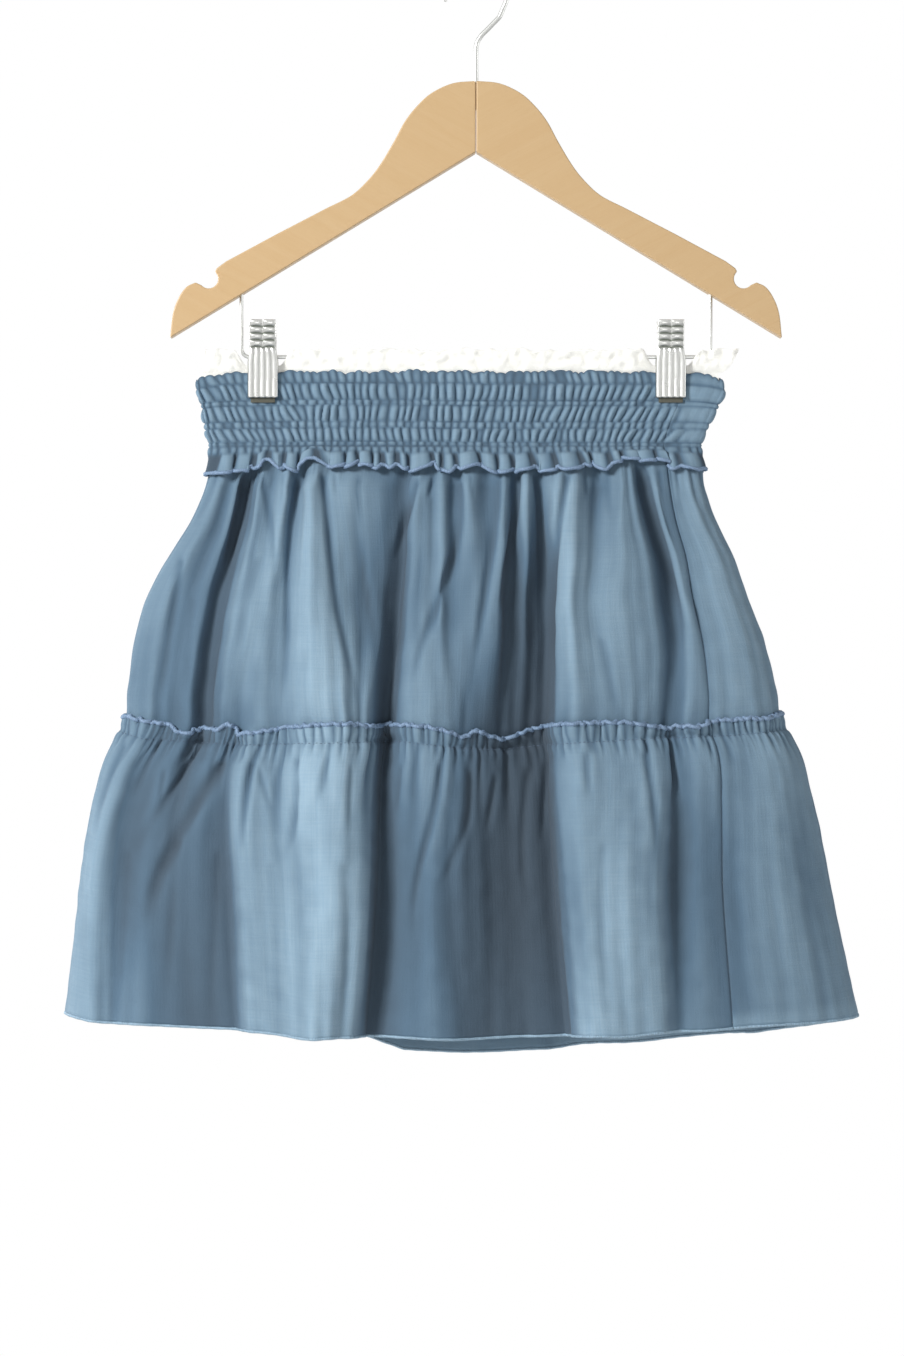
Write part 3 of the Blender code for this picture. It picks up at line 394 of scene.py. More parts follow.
class SkirtHanger(bpy.types.PropertyGroup):
    """Colours of the hanger and its clips"""

    wood_light: FloatVectorProperty(
        name="Light wood", description="Colour of the early wood", default=(0.640, 0.443, 0.233), **COLOUR
    )
    wood_dark: FloatVectorProperty(
        name="Grain lines", description="Colour of the late wood", default=(0.58, 0.368, 0.168), **COLOUR
    )
    steel: FloatVectorProperty(
        name="Plated steel", description="Colour of the chromed steel", default=(0.61, 0.615, 0.595), **COLOUR
    )
    rubber: FloatVectorProperty(
        name="Clip pads", description="Colour of the rubber in the clips",
        default=(0.085, 0.085, 0.065), **COLOUR
    )


class SkirtStudio(bpy.types.PropertyGroup):
    """Light round the skirt"""

    key_power: FloatProperty(
        name="Key light", description="Power of the soft light at the front left", default=62.0, **POWER
    )
    fill_power: FloatProperty(
        name="Top light", description="Power of the soft light above", default=3.0, **POWER
    )
    rim_power: FloatProperty(
        name="Rim lights", description="Power of the soft light behind on the left; two more are weaker",
        default=20.0, **POWER
    )
    ambient: FloatProperty(
        name="Ambient light", description="Strength of the even light from all round",
        default=0.14, min=0.0, max=3.0,
    )


def cloth_mm(setting):
    """A size from the cloth's settings, in millimetres."""
    return getattr(bpy.context.scene.skirt_cloth, setting) / MM


def cell_of(marks, at):
    """Which two neighbouring marks each place lies between, as the number of the first."""
    return np.clip(np.searchsorted(marks, at, "right") - 1, 0, len(marks) - 2)


def eased(value):
    """0 below 0, 1 above 1, and a smooth step between."""
    value = np.clip(value, 0, 1)
    return value * value * (3 - 2 * value)


def bell(away, width=1.0):
    """1 at no distance, falling smoothly to almost 0 at two widths."""
    return np.exp(-((away / width) ** 2))


def curve_through(knots, values, at):
    """A smooth curve at many heights through rows of values at falling knots; level past the ends."""
    knots = -np.asarray(knots, float)
    slopes = np.gradient(values, knots, axis=0)
    at = np.clip(-np.ravel(at), knots[0], knots[-1])
    i = cell_of(knots, at)
    span = (knots[i + 1] - knots[i])[:, None]
    t = (at - knots[i])[:, None] / span
    ease = eased(t)
    start = values[i] * (1 - ease) + values[i + 1] * ease
    return start + span * (slopes[i] * t * (1 - t) ** 2 - slopes[i + 1] * t * t * (1 - t))


def outline_at(z):
    """The outline's left and right edges, depth, squareness and edge lift at many heights."""
    return curve_through(OUTLINE[:, 0], OUTLINE[:, 1:], z).T


def back_folds():
    """Angle and relief of the hidden back's folds at each of the five heights, from right to left."""
    angles, reliefs = [], []
    for j in range(1, BACK_FOLDS + 1):
        wander = [0.22 * math.sin(1.9 * j + 0.7 * k) for k in range(len(FOLD_HEIGHTS))]
        angles.append([math.pi * (1 + (j + w + 0.6) / (BACK_FOLDS + 2.2)) for w in wander])
        size = 0.75 + 0.25 * math.sin(2.3 * j)
        broad = math.cos(2 * math.pi * 2.6 * j / BACK_FOLDS + 0.8)
        near_edge = math.sin(math.pi * j / (BACK_FOLDS + 1)) ** 0.5
        rows = zip(BACK_GATHER, BACK_BROAD)
        reliefs.append([near_edge * ((-1) ** j * size * gather + broad * wide) for gather, wide in rows])
    return np.array(angles).T, np.array(reliefs).T


def fold_lines():
    """Arrays (height, fold) of the angle and the relief of every fold round the skirt, edges included."""
    left, right = (edge[:, None] for edge in outline_at(FOLD_HEIGHTS)[:2])
    front = np.arccos(1 - 2 * np.clip((FRONT_FOLDS[:, :5].T - left) / (right - left), 0, 1))
    back_angles, back_reliefs = back_folds()
    edge = np.zeros((len(FOLD_HEIGHTS), 1))
    angles = np.hstack([edge, front, edge + math.pi, back_angles, edge + 2 * math.pi])
    reliefs = np.hstack([edge, FRONT_FOLDS[:, 5:].T, edge, back_reliefs, edge])
    return angles, reliefs * FOLD_DEPTH


ANGLES, RELIEFS = fold_lines()


def skirt_surface(z, places=None, theta=None, valleys=1.0, with_relief=False):
    """Points of the skirt's common surface, for a grid of heights and places round it for its columns.

    Places count folds from the left edge and theta is the angle from it; one of them is given.
    Valleys is the share of the valleys' depth that is kept. With_relief also gives how far each stands out.
    """
    size = np.shape(z)
    z = np.ravel(z)
    left, right, depth, square, lift = outline_at(z)
    angle = curve_through(FOLD_HEIGHTS, ANGLES, z)
    relief = curve_through(FOLD_HEIGHTS, RELIEFS, z)
    growth = np.clip((WAIST_SEAM - z) / (WAIST_SEAM - FOLD_HEIGHTS[0]), 0, 1)
    relief *= (RELIEF_AT_SEAM + (1 - RELIEF_AT_SEAM) * growth)[:, None]
    relief = np.where(relief < 0, relief * valleys, relief)
    here = np.arange(len(z))
    if places is not None:
        place = np.mod(np.broadcast_to(places, size).ravel(), FOLDS_ROUND)
        first = np.minimum(place.astype(int), FOLDS_ROUND - 1)
        part = place - first
        theta = angle[here, first] * (1 - part) + angle[here, first + 1] * part
    else:
        theta = np.mod(np.broadcast_to(theta, size).ravel(), 2 * math.pi)
        first = np.clip((angle <= theta[:, None]).sum(axis=1) - 1, 0, FOLDS_ROUND - 1)
        part = (theta - angle[here, first]) / (angle[here, first + 1] - angle[here, first])
    out = rounded_folds(angle, relief, here, first, part)
    middle, half = (left + right) / 2, (right - left) / 2
    sine = np.abs(np.sin(theta))
    front = np.where(np.sin(theta) >= 0, -1.0, 1.0)
    x = middle - half * np.cos(theta)
    y = front * (depth * sine**square + out * np.minimum(1.0, 2.5 * sine))
    drop = np.clip((z - TIER_SEAM) / (HEM - TIER_SEAM), 0, 1) ** 2
    whole = np.clip((x - BACK_DROP_FROM) / (BACK_DROP_TO - BACK_DROP_FROM), 0, 1)
    lower_back = BACK_HEM_DROP * drop * np.where(front > 0, whole * sine**1.2, 0.0)
    z = z + lift * np.abs(np.cos(theta)) ** EDGE_LIFT_POWER - lower_back
    points = np.stack([x, y, z], axis=1).reshape(*size, 3)
    return (points, out.reshape(size)) if with_relief else points


def rounded_folds(angle, relief, here, first, part):
    """The relief between two fold lines: a curve, level on ridges and in valleys, that never overshoots."""
    angle = np.hstack([angle[:, -2:-1] - 2 * math.pi, angle, angle[:, 1:2] + 2 * math.pi])
    relief = np.hstack([relief[:, -2:-1], relief, relief[:, 1:2]])
    span = np.diff(angle, axis=1)
    steep = np.diff(relief, axis=1) / span
    before, after = steep[:, :-1], steep[:, 1:]
    same = before * after > 0
    slope = np.where(same, 2 * before * after / np.where(same, before + after, 1.0), 0.0)
    start, end = relief[here, first + 1], relief[here, first + 2]
    ease = part * part * (3 - 2 * part)
    turned = slope[here, first] * part * (1 - part) ** 2 - slope[here, first + 1] * part**2 * (1 - part)
    return start * (1 - ease) + end * ease + span[here, first + 1] * turned


def skirt_line(z, **where):
    """One line of points round the skirt's common surface, all at one height."""
    (around,) = where.values()
    return skirt_surface(np.full(len(around), z), **where)


def lift_at(z, x):
    """How far the skirt's edges are lifted at one height, for places at x."""
    left, right, _depth, _square, lift = outline_at(z)
    cosine = np.clip(((left + right) / 2 - x) / ((right - left) / 2), -1, 1)
    return lift * np.abs(cosine) ** EDGE_LIFT_POWER


def soft_noise(x, y, wide, tall, seed, waves=16):
    """Smooth uneven relief, mostly from -1 to 1, whose hills are about so wide and so tall."""
    random = np.random.default_rng(seed)
    total = np.zeros(np.broadcast(x, y).shape)
    for _ in range(waves):
        turn, size, phase = random.uniform(0, 2 * math.pi), random.uniform(0.5, 1.4), random.uniform(0, 6.28)
        total += np.cos(size * 3.1 * (x / wide * math.cos(turn) + y / tall * math.sin(turn)) + phase)
    return total / math.sqrt(waves)


def uneven(x, wide, seed, waves=16):
    """Smooth uneven values along a line, mostly from -1 to 1, whose hills are about so wide."""
    return soft_noise(x, 0.0 * x, wide, 1.0, seed, waves)


def travelled(points):
    """Length along each row of points, in millimetres, from its first column."""
    steps = np.linalg.norm(np.diff(points, axis=1), axis=2)
    return np.hstack([np.zeros((len(points), 1)), np.cumsum(steps, axis=1)])


def path_length(path):
    """Length along a path to each of its points."""
    return travelled(path[None])[0]


def evenly(path, step):
    """The path again, with its points a step apart."""
    path = np.asarray(path, float)
    length = path_length(path)
    at = np.linspace(0, length[-1], max(int(length[-1] / step), 2) + 1)
    return np.stack([np.interp(at, length, path[:, k]) for k in range(3)], axis=1)


def outward(points):
    """The directions out of the cloth and along its rows, for a grid whose rows run from the left."""
    down = np.gradient(points, axis=0)
    along = np.gradient(points, axis=1)
    out = np.cross(down, along)
    out /= np.maximum(np.linalg.norm(out, axis=2, keepdims=True), 1e-9)
    along /= np.maximum(np.linalg.norm(along, axis=2, keepdims=True), 1e-9)
    return out, along


def gathers(along, below, chosen, seed, spacing, depth, reach):
    """Relief of gathers that start at a seam: narrow uneven valleys that widen and fade as they fall."""
    random = np.random.default_rng(seed)
    total = np.zeros(below.shape)
    small = [
        (start + random.uniform(-0.45, 0.45) * spacing, random.uniform(-0.03, 0.03),
         depth * random.uniform(0.3, 1.0), reach * random.uniform(0.25, 1.0))
        for start in np.arange(along[0, 0] + spacing / 2, along[0, -1], spacing)
    ]
    for start, lean, deep, length in [*chosen, *small]:
        width = 1.1 + 0.22 * deep + 0.045 * below
        away = along - start - lean * below
        fade = (0.70 + 0.30 * eased(below / 5.0)) * (1 - eased(below / length))
        total += 1.05 * deep * fade * (0.45 * bell(away, 2.6 * width) - 1.25 * bell(away, width))
    return total


def creased(points, creases):
    """Relief of single creases that run down a front panel, each a valley between two low rims."""
    total = np.zeros(points.shape[:2])
    x, z = points[:, :, 0], points[:, :, 2]
    for line, half_width, depth in creases:
        line = np.array(line)
        top, length = line[0, 1], line[0, 1] - line[-1, 1]
        fall = np.clip((top - z) / length, 0, 1.15)
        bend = np.polyfit((top - line[:, 1]) / length, line[:, 0], min(3, len(line) - 1))
        slope = np.polyval(np.polyder(bend), fall) / length
        away = (x - np.polyval(bend, fall)) / (half_width * np.hypot(1.0, slope))
        fade = eased((top + 3.0 - z) / 5.0) * eased((1.12 - (top - z) / length) / 0.55)
        total += depth * fade * (0.42 * bell(away, 2.3) - 1.1 * bell(away))
    return total


def puffs(x, pinches, gap=0.0):
    """A row of puffs between pinches, 0 within a gap of each pinch and up to 1, wide ones highest."""
    cell = cell_of(pinches, x)
    width = pinches[cell + 1] - pinches[cell]
    part = np.clip((x - pinches[cell] - gap) / np.maximum(width - 2 * gap, 0.1), 0, 1)
    return np.sin(math.pi * part) ** 0.55 * np.clip(0.62 + width / 26.0, 0, 1)


def tilts(x, pinches, seed):
    """The slant of each puff's edge, from -0.5 to 0.5 across it, some one way and some the other."""
    cell = cell_of(pinches, x)
    part = np.clip((x - pinches[cell]) / (pinches[cell + 1] - pinches[cell]), 0, 1)
    return np.random.default_rng(seed).uniform(-1, 1, len(pinches))[cell] * (part - 0.5)


def uneven_pinches(first, last, low, high, seed):
    """Pinches at uneven steps between two ends."""
    steps = np.random.default_rng(seed).uniform(low, high, int((last - first) / low) + 2)
    places = first + np.concatenate([[0.0], np.cumsum(steps)])
    return places[places < last + high]


def seam_relief(away, down, seed):
    """A sewn side seam: a groove, the turned edge under the cloth beside it, and small puckers."""
    pucker = 0.6 + 0.4 * soft_noise(away * 0.0, down, wide=9.0, tall=9.0, seed=seed)
    allowance = bell(np.abs(away) - 4.0, 2.6)
    return -0.55 * bell(away, SEAM_GROOVE) + 0.30 * allowance * pucker


def with_seams(relief, seam_side, away, z, seed):
    """A panel's relief, faded beside its side seam, with the relief of the seams themselves."""
    return relief * eased(seam_side / FOLDS_FROM_SEAM) + np.where(
        away < SEAM_REACH, seam_relief(away, z, seed), 0.0
    )


def seam_shade(away):
    """How much light the groove of a side seam keeps under its painted shade."""
    return 1 - SEAM_PAINTED_SHADE * bell(away, SEAM_GROOVE)


def fold_shade(relief, small=0.0):
    """How light the cloth's colour is painted where it stands out so far: painted shade, darker in folds than
    on their ridges.
    """
    broad = np.interp(relief, *FOLD_PAINTED_SHADE)
    return np.clip(broad * np.interp(small, *CREASE_PAINTED_SHADE), 0.02, 1.0)


def grid_faces(rows, columns):
    """The four corners of each face of a grid of points."""
    index = np.arange(rows * columns).reshape(rows, columns)
    corners = index[:-1, :-1], index[1:, :-1], index[1:, 1:], index[:-1, 1:]
    return np.stack([corner.ravel() for corner in corners], axis=1)


def new_mesh(name, points, faces):
    """A smooth mesh from points in millimetres and lists of their numbers."""
    mesh = bpy.data.meshes.new(name)
    mesh.from_pydata((points * MM).tolist(), [], faces)
    mesh.shade_smooth()
    return mesh


def mesh_of(bm, name):
    """A smooth mesh from a bmesh, with its faces turned outward."""
    bmesh.ops.recalc_face_normals(bm, faces=bm.faces)
    mesh = bpy.data.meshes.new(name)
    bm.to_mesh(mesh)
    bm.free()
    mesh.shade_smooth()
    return mesh


def painted(mesh, name, values):
    """Keeps a grey value for each point of a mesh, which its material reads."""
    colour = np.ones((len(mesh.vertices), 4))
    colour[:, :3] = np.reshape(values, (-1, 1))
    mesh.color_attributes.new(name, "FLOAT_COLOR", "POINT").data.foreach_set("color", colour.ravel())


def show(mesh, material, node=None):
    """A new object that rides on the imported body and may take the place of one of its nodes."""
    obj = bpy.data.objects.new(mesh.name, mesh)
    mesh.materials.append(material)
    bpy.context.scene.collection.objects.link(obj)
    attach(obj, "root")
    if node:
        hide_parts(node)
    return obj


def modify(obj, name, kind, **settings):
    """Gives an object a modifier with its settings."""
    modifier = obj.modifiers.new(name, kind)
    for setting, value in settings.items():
        setattr(modifier, setting, value)


def cloth_piece(node, points, along, material, shade, wall=None):
    """The sheet in place of a node, through a grid of points whose rows run down, with its own cloth map."""
    rows, columns = points.shape[:2]
    faces = grid_faces(rows, columns)
    mesh = new_mesh(f"{node}_cloth", points.reshape(-1, 3), faces.tolist())
    down = -path_length(points[:, columns // 2])[:, None] * np.ones((1, columns))
    uv = np.stack([along * np.ones_like(down), down], axis=2).reshape(-1, 2) * MM
    mesh.uv_layers.new(name="cloth").data.foreach_set("uv", uv[faces.ravel()].ravel())
    # Painted light and shade for the cotton material to read
    painted(mesh, "fold_shade", shade)
    obj = show(mesh, material, node)
    modify(obj, "cloth_thickness", "SOLIDIFY", thickness=(wall or cloth_mm("wall")) * MM, offset=-1)
    return obj


def tube(path, radius, sides=6):
    """Vertices and faces of a closed tube round a path of points; radius may change along it."""
    path = np.asarray(path, float)
    radius = np.broadcast_to(radius, len(path))
    ahead = np.gradient(path, axis=0)
    ahead /= np.maximum(np.linalg.norm(ahead, axis=1, keepdims=True), 1e-9)
    side = np.cross(ahead[0], (0.0, 1.0, 0.0))
    if np.linalg.norm(side) < 0.1:
        side = np.cross(ahead[0], (1.0, 0.0, 0.0))
    sides_at = []
    for direction in ahead:
        side = side - direction * np.dot(side, direction)
        side = side / np.linalg.norm(side)
        sides_at.append(side)
    sides_at = np.array(sides_at)
    other = np.cross(ahead, sides_at)
    turn = np.arange(sides) * 2 * math.pi / sides
    round_it = sides_at[:, None] * np.cos(turn)[:, None] + other[:, None] * np.sin(turn)[:, None]
    points = path[:, None] + round_it * radius[:, None, None]
    index = np.arange(len(path) * sides).reshape(len(path), sides)
    beside = np.roll(index, -1, axis=1)
    faces = np.stack([index[:-1], beside[:-1], beside[1:], index[1:]], axis=2).reshape(-1, 4).tolist()
    return points.reshape(-1, 3), [*faces, index[0][::-1].tolist(), index[-1].tolist()]


def joined(parts):
    """One list of vertices and faces from several."""
    points, faces, start = [], [], 0
    for some_points, some_faces in parts:
        points.append(some_points)
        faces += [[i + start for i in face] for face in some_faces]
        start += len(some_points)
    return np.vstack(points), faces


def solid_piece(name, parts, material, node=None, sharp=180):
    """A shown piece of closed forms, smooth except at edges sharper than an angle."""
    mesh = new_mesh(name, *joined(parts))
    bm = bmesh.new()
    bm.from_mesh(mesh)
    bmesh.ops.recalc_face_normals(bm, faces=bm.faces)
    bm.to_mesh(mesh)
    bm.free()
    mesh.set_sharp_from_angle(angle=math.radians(sharp))
    return show(mesh, material, node)


def overlocked_edge(name, edge, material, fuller):
    """A raw edge rolled in thread: a thin tube whose wraps show as small even bumps."""
    path = evenly(edge, 0.62)
    wraps = 1 + 0.16 * np.cos(np.arange(len(path)) * math.pi) + 0.08 * np.sin(np.arange(len(path)) * 0.37)
    radius = cloth_mm("overlock_radius") * fuller
    return solid_piece(name, [tube(path, radius * wraps)], material)


def gathering_stitches(name, row):
    """Short stitches with gaps between them along the row that gathers the lower tier."""
    path = evenly(row, 0.6)
    parts = [tube(path[start : start + 4], STITCH_RADII, 5) for start in range(0, len(path) - 5, 5)]
    return solid_piece(name, parts, gathering_thread())


def panel_places(side, step, at_height):
    """Places of a tier's columns between its side seams, a step apart when measured at one height."""
    first, last = LEFT_SEAM_FOLD - FOLDS_ROUND, RIGHT_SEAM_FOLD
    if side == "back":
        first, last = RIGHT_SEAM_FOLD, LEFT_SEAM_FOLD
    fine = np.linspace(first, last, 2001)
    length = path_length(skirt_line(at_height, places=fine))
    return np.interp(np.linspace(0, length[-1], int(length[-1] / step) + 1), length, fine)


def tier_creases(along, points, seed):
    """Soft creases all over: long ones that fall, shorter ones across them, and small dents."""
    z = points[:, :, 2]
    long_ones = soft_noise(along, z, wide=6.0, tall=110.0, seed=seed)
    broad = soft_noise(along, z, wide=22.0, tall=60.0, seed=seed + 1)
    dents = soft_noise(along, z, wide=7.5, tall=9.0, seed=seed + 2, waves=24)
    return cloth_mm("crease") * (long_ones + 1.1 * broad + 0.35 * dents)


def make_upper_tier(side, cotton_cloth):
    """A panel of the upper tier, gathered under the waistband and sewn into the lower tier."""
    front = side == "front"
    places = panel_places(side, step=1.45, at_height=-470.0)
    z = UPPER_TIER_ROWS[:, None] * np.ones(len(places))
    points, stand = skirt_surface(z, places=places, with_relief=True)
    along = travelled(points)[45:46] * np.ones((len(z), 1))
    out, _ = outward(points)
    below = np.maximum(FRILL_COVERS_TO - z, 0)
    shown = eased((-308.0 - z) / 16.0) * eased((z + 486.0) / 9.0)
    near = np.abs(along - along[:, :1]), np.abs(along[:, -1:] - along)
    seam_side = near[1] if front else near[0]
    if front:
        pleats = gathers(along, below, [], seed=11, spacing=7.5, depth=1.0, reach=34.0)
        pleats += creased(points, UPPER_CREASES)
    else:
        pleats = gathers(along, below, [], seed=12, spacing=8.5, depth=2.0, reach=75.0)
    soft = 1.2 * tier_creases(along, points, seed=41 if front else 51)
    relief = with_seams(pleats + soft, seam_side, np.minimum(*near), z, seed=31)
    points = points + out * (UNDER_SEAMS + shown * relief)[:, :, None]
    # Painted shade: darker in folds, gathers, creases and the side seam's groove
    shade = fold_shade(stand, (pleats + 0.7 * soft) * shown) * seam_shade(seam_side)
    return cloth_piece(f"upper_tier_{side}", points, along[0], cotton_cloth, shade)


def frill_waves(along, length, seed):
    """Uneven waves along a frill, as how far out (0 to 1) and how far sideways (-1 to 1) each point goes."""
    turn = 2 * math.pi * (along / length + 0.45 * uneven(along, length * 2.3, seed))
    size = 0.72 + 0.28 * uneven(along, length * 3.0, seed + 1)
    return size * (0.5 - 0.5 * np.cos(turn)), -size * np.sin(turn)


def open_cloth(points):
    """From 0 in deep valleys and on steep sides to 1 where the cloth lies open and a frill may wave."""
    slope = np.gradient(points, axis=1)
    facing = np.abs(slope[:, :, 0]) / np.maximum(np.hypot(slope[:, :, 0], slope[:, :, 1]), 1e-6)
    return eased((facing - 0.25) / 0.6)


def lower_tier_edges(side, x):
    """Heights of the gathering row, the heading's edge and the hem, over columns at x."""
    if side == "front":
        lift = lift_at(TIER_SEAM, x)
        row = np.interp(x, *GATHERING_ROW.T) - lift
        edge = np.interp(x, *HEADING_EDGE.T) - lift
    else:
        row = TIER_SEAM + 0.8 * uneven(x, wide=60.0, seed=5)
        edge = row + BACK_HEADING + 1.7 * uneven(x, wide=14.0, seed=6)
    hem = HEM + 0.9 * uneven(x, wide=30.0, seed=8)
    return row, np.maximum(edge, row + LEAST_HEADING), hem


def lower_pleats(side, along, below, points):
    """Relief of the gathers and single creases under the lower tier's gathering row."""
    if side == "back":
        return gathers(along, below, [], seed=22, spacing=5.0, depth=1.7, reach=27.0)
    chosen = [
        (np.interp(x_row, points[0, :, 0], along[0]), (x_low - x_row) / length, deep, length)
        for x_row, x_low, deep, length in FRONT_GATHERS
    ]
    pleats = gathers(along, below, chosen, seed=21, spacing=5.0, depth=1.7, reach=27.0)
    return pleats + creased(points, LOWER_CREASES)


def make_lower_tier(side, cotton_cloth, thread):
    """A panel of the lower tier with its upstanding heading, its gathering row and its hem."""
    front = side == "front"
    head = slice(HEADING_ROWS)
    panel = slice(HEADING_ROWS, None)
    places = panel_places(side, step=1.55, at_height=-600.0)
    row_z, edge_z, hem_z = lower_tier_edges(side, skirt_line(TIER_SEAM, places=places)[:, 0])
    up = np.linspace(1, 0, HEADING_ROWS)[:, None]
    z = np.vstack([row_z + (edge_z - row_z) * up, row_z + (hem_z - row_z) * SHARES_TO_HEM])
    points, stand = skirt_surface(z, places=places, with_relief=True)
    along = travelled(points)[30:31] * np.ones((len(z), 1))
    out, beside = outward(points)
    seam_side = (along[:, -1:] - along if front else along)[panel]
    below = np.maximum(row_z - z[panel], 0.0)

    wave_out, wave_side = frill_waves(along[head], length=9.5, seed=61 if front else 62)
    pinches = uneven_pinches(-1.0, along[0, -1], low=3.2, high=7.0, seed=63 if front else 64)
    folds = puffs(along[head], pinches, gap=0.45)
    rise = up**0.8
    ripple = 0.95 * cloth_mm("frill_wave") * rise * wave_out * open_cloth(points[head])
    fine = 3.0 * (folds - 0.7) * (0.6 + 0.4 * up)
    puff = 0.70 + 0.85 * eased(up * 2.0)

    pleats = lower_pleats(side, along[panel], below, points[panel])
    pleats += 1.7 * (folds[-1:] - 0.75) * bell(below, 7.0)
    soft = tier_creases(along[panel], points[panel], seed=71 if front else 81) * eased(below / 20.0)
    relief = with_seams(pleats + soft, seam_side, seam_side, z[panel], seed=33)
    pinch = 1 - 0.70 * bell(below, 1.3) + 0.4 * bell(below - 4.0, 3.0)

    offset = np.vstack([CLOTH_WALL * puff + ripple + fine * 0.7, CLOTH_WALL * pinch + relief])
    points = points + out * offset[:, :, None]
    points[head] += beside[head] * (wave_side * rise * 1.9 * open_cloth(points[head]))[:, :, None]
    points[head, :, 2] += up**2 * (1.1 - 1.9 * folds)

    # Painted shade: darker between the heading's pinches, along the gathering row, in folds, gathers and the
    # seam's groove
    heading_crease = -0.35 * (1 - eased(up * 4)) + 1.6 * fine
    panel_crease = pleats + 0.7 * soft - 0.55 * bell(below, 1.1)
    shade = fold_shade(stand, np.vstack([heading_crease, panel_crease]))
    shade[panel] *= seam_shade(seam_side)
    # Painted light: the back's lowest rows are painted paler, outside and inside, so the inside of its hem
    # looks lit
    if not front:
        shade += 0.65 * np.maximum(0.75 - shade, 0.0) * eased((-653.0 - z) / 9.0)
    tier = cloth_piece(f"lower_tier_{side}", points, along[0], cotton_cloth, shade)
    middle = out * cloth_mm("wall") / 2
    return tier, [
        overlocked_edge(f"heading_{side}_overlock", points[0] - middle[0], thread, fuller=1.4),
        overlocked_edge(f"hem_{side}_overlock", points[-1] - middle[-1], hem_thread(), fuller=1.0),
        gathering_stitches(f"gathering_{side}_stitches", points[HEADING_ROWS] - out[HEADING_ROWS] * 0.05),
    ]


def rib_angles(side):
    """Rib counts and angles of the waistband's columns between its side seams."""
    right_seam, left_seam = (ANGLES[0][fold] for fold in (RIGHT_SEAM_FOLD, LEFT_SEAM_FOLD))
    marks = np.array((
        0, RIBS_NEAR_EDGE, RIBS_BEFORE_SEAM, RIBS_ACROSS, RIBS_ACROSS + RIBS_NEAR_EDGE,
        RIBS_BEFORE_LEFT_SEAM, RIBS_ROUND,
    ), float)
    turns = np.array((
        0, EDGE_TURN, right_seam, math.pi, math.pi + EDGE_TURN, left_seam, 2 * math.pi,
    ))
    first, last = RIBS_BEFORE_LEFT_SEAM - RIBS_ROUND, RIBS_BEFORE_SEAM
    if side == "back":
        first, last = RIBS_BEFORE_SEAM, RIBS_BEFORE_LEFT_SEAM
    ribs = np.arange(first, last + 1e-6, 1 / COLUMNS_PER_RIB)
    counted = np.mod(ribs, RIBS_ROUND)
    theta = np.interp(counted, marks, turns)
    across = np.arccos(np.clip(np.interp(counted, marks, np.cos(turns)), -1, 1))
    across = np.where(counted <= RIBS_ACROSS, across, 2 * math.pi - across)
    flat = (counted > marks[1]) & (counted < marks[2]) | (counted > marks[4]) & (counted < marks[5])
    return ribs, np.where(flat, across, theta)


def shirred(ribs, z, x):
    """How far the shirring stands out: uneven, leaning ribs that puff between the stitched rows."""
    level = z - 0.55 * uneven(x, wide=55.0, seed=91)
    lean = 0.45 * np.interp(x, *RIB_LEAN)
    smooth = np.interp(x, (122, 134), (0.0, 0.86))
    height = np.zeros(z.shape)
    for number, (top, bottom, puff) in enumerate(STRIPS):
        share = (top - level) / (top - bottom)
        inside = (share >= 0) & (share <= 1)
        share = np.clip(share, 0, 1)
        narrow = 1.0 if puff > 0.8 else 0.35
        drift = lean * narrow * (share - 0.5) * (bottom - top) / -10.0
        wander = soft_noise(ribs, z, wide=2.6, tall=12.0, seed=100 + number)
        count = ribs + (drift + 0.20 * wander)
        ridge = np.abs(np.sin(math.pi * count)) ** 0.8
        strip = np.full(z.shape, float(number))
        high = 0.80 + 0.26 * soft_noise(np.floor(count), strip, wide=0.7, tall=1.0, seed=150)
        bulge = np.sin(math.pi * share) ** 0.42
        rib = ridge * high * (1 - smooth) + 0.78 * smooth
        height = np.where(inside, puff * (0.12 + 0.88 * bulge) * rib, height)
    return np.clip(height, 0.03, 1.25)


def pressed(x, z):
    """How far the clips press the ribs flat: 0 under a jaw, 1 clear of it."""
    free = np.ones(np.broadcast(x, z).shape)
    for clip_x in CLIP_X.values():
        away = np.clip((np.abs(x - clip_x) - LIP_HALF_WIDTH - 1.0) / 5.0, 0, 1)
        below = np.clip((ROD_Z + PAD_BOTTOM - z) / 7.0, 0, 1)
        free = np.minimum(free, np.maximum(away, below))
    return free


def shirred_band(ribs, theta):
    """The shirred band: its points with the top edge rolled in, heights of its ribs for the painted shade
    (raised on the top strip), and x along its top.
    """
    z = np.linspace(BAND_TOP, LAST_ELASTIC, BAND_ROWS)[:, None] * np.ones(len(ribs))
    band = skirt_surface(z, theta=theta)
    fade = np.clip((z - WAIST_SEAM) / (BAND_TOP - WAIST_SEAM), 0, 1) ** 2
    band[:, :, 2] -= CORNER_DROP * fade * np.abs(np.cos(theta)) ** 14
    x = band[:, :, 0]
    out, _ = outward(band)
    free = pressed(x, z)
    height = shirred(ribs, z, x)
    crumple = 0.175 * soft_noise(x, z, wide=7.0, tall=5.0, seed=17) * free
    flat = BAND_WALL * (1 - free) + VALLEY_WALL * free
    band = band + out * (flat + RIB_HEIGHT * height * free + crumple)[:, :, None]
    wander = ribs + 0.3 * uneven(ribs, wide=2.2, seed=9)
    scallop = 1.15 * np.abs(np.sin(math.pi * wander)) ** 0.7
    ragged = (scallop + 0.7 * uneven(ribs, wide=1.5, seed=19)) * free[0]
    band[:, :, 2] += ragged * np.clip((z + 264.0) / 6.0, 0, 1)
    roll = []
    for share in ROLL_SHARES:
        row = band[0] - out[0] * (TOP_ROLL * math.sin(share * math.pi / 2))
        row[:, 2] += TOP_ROLL * (1 - share) * 0.6 - TOP_ROLL * share * 0.2
        roll.append(row)
    # Painted light: the top strip's ribs count higher for the painted shade, so that strip is painted paler
    paler = 1 + 0.35 * eased((z - STRIPS[0][1]) / 1.5)
    return np.vstack([roll, band]), np.vstack([height[:1]] * len(roll) + [height * paler]), x[0]


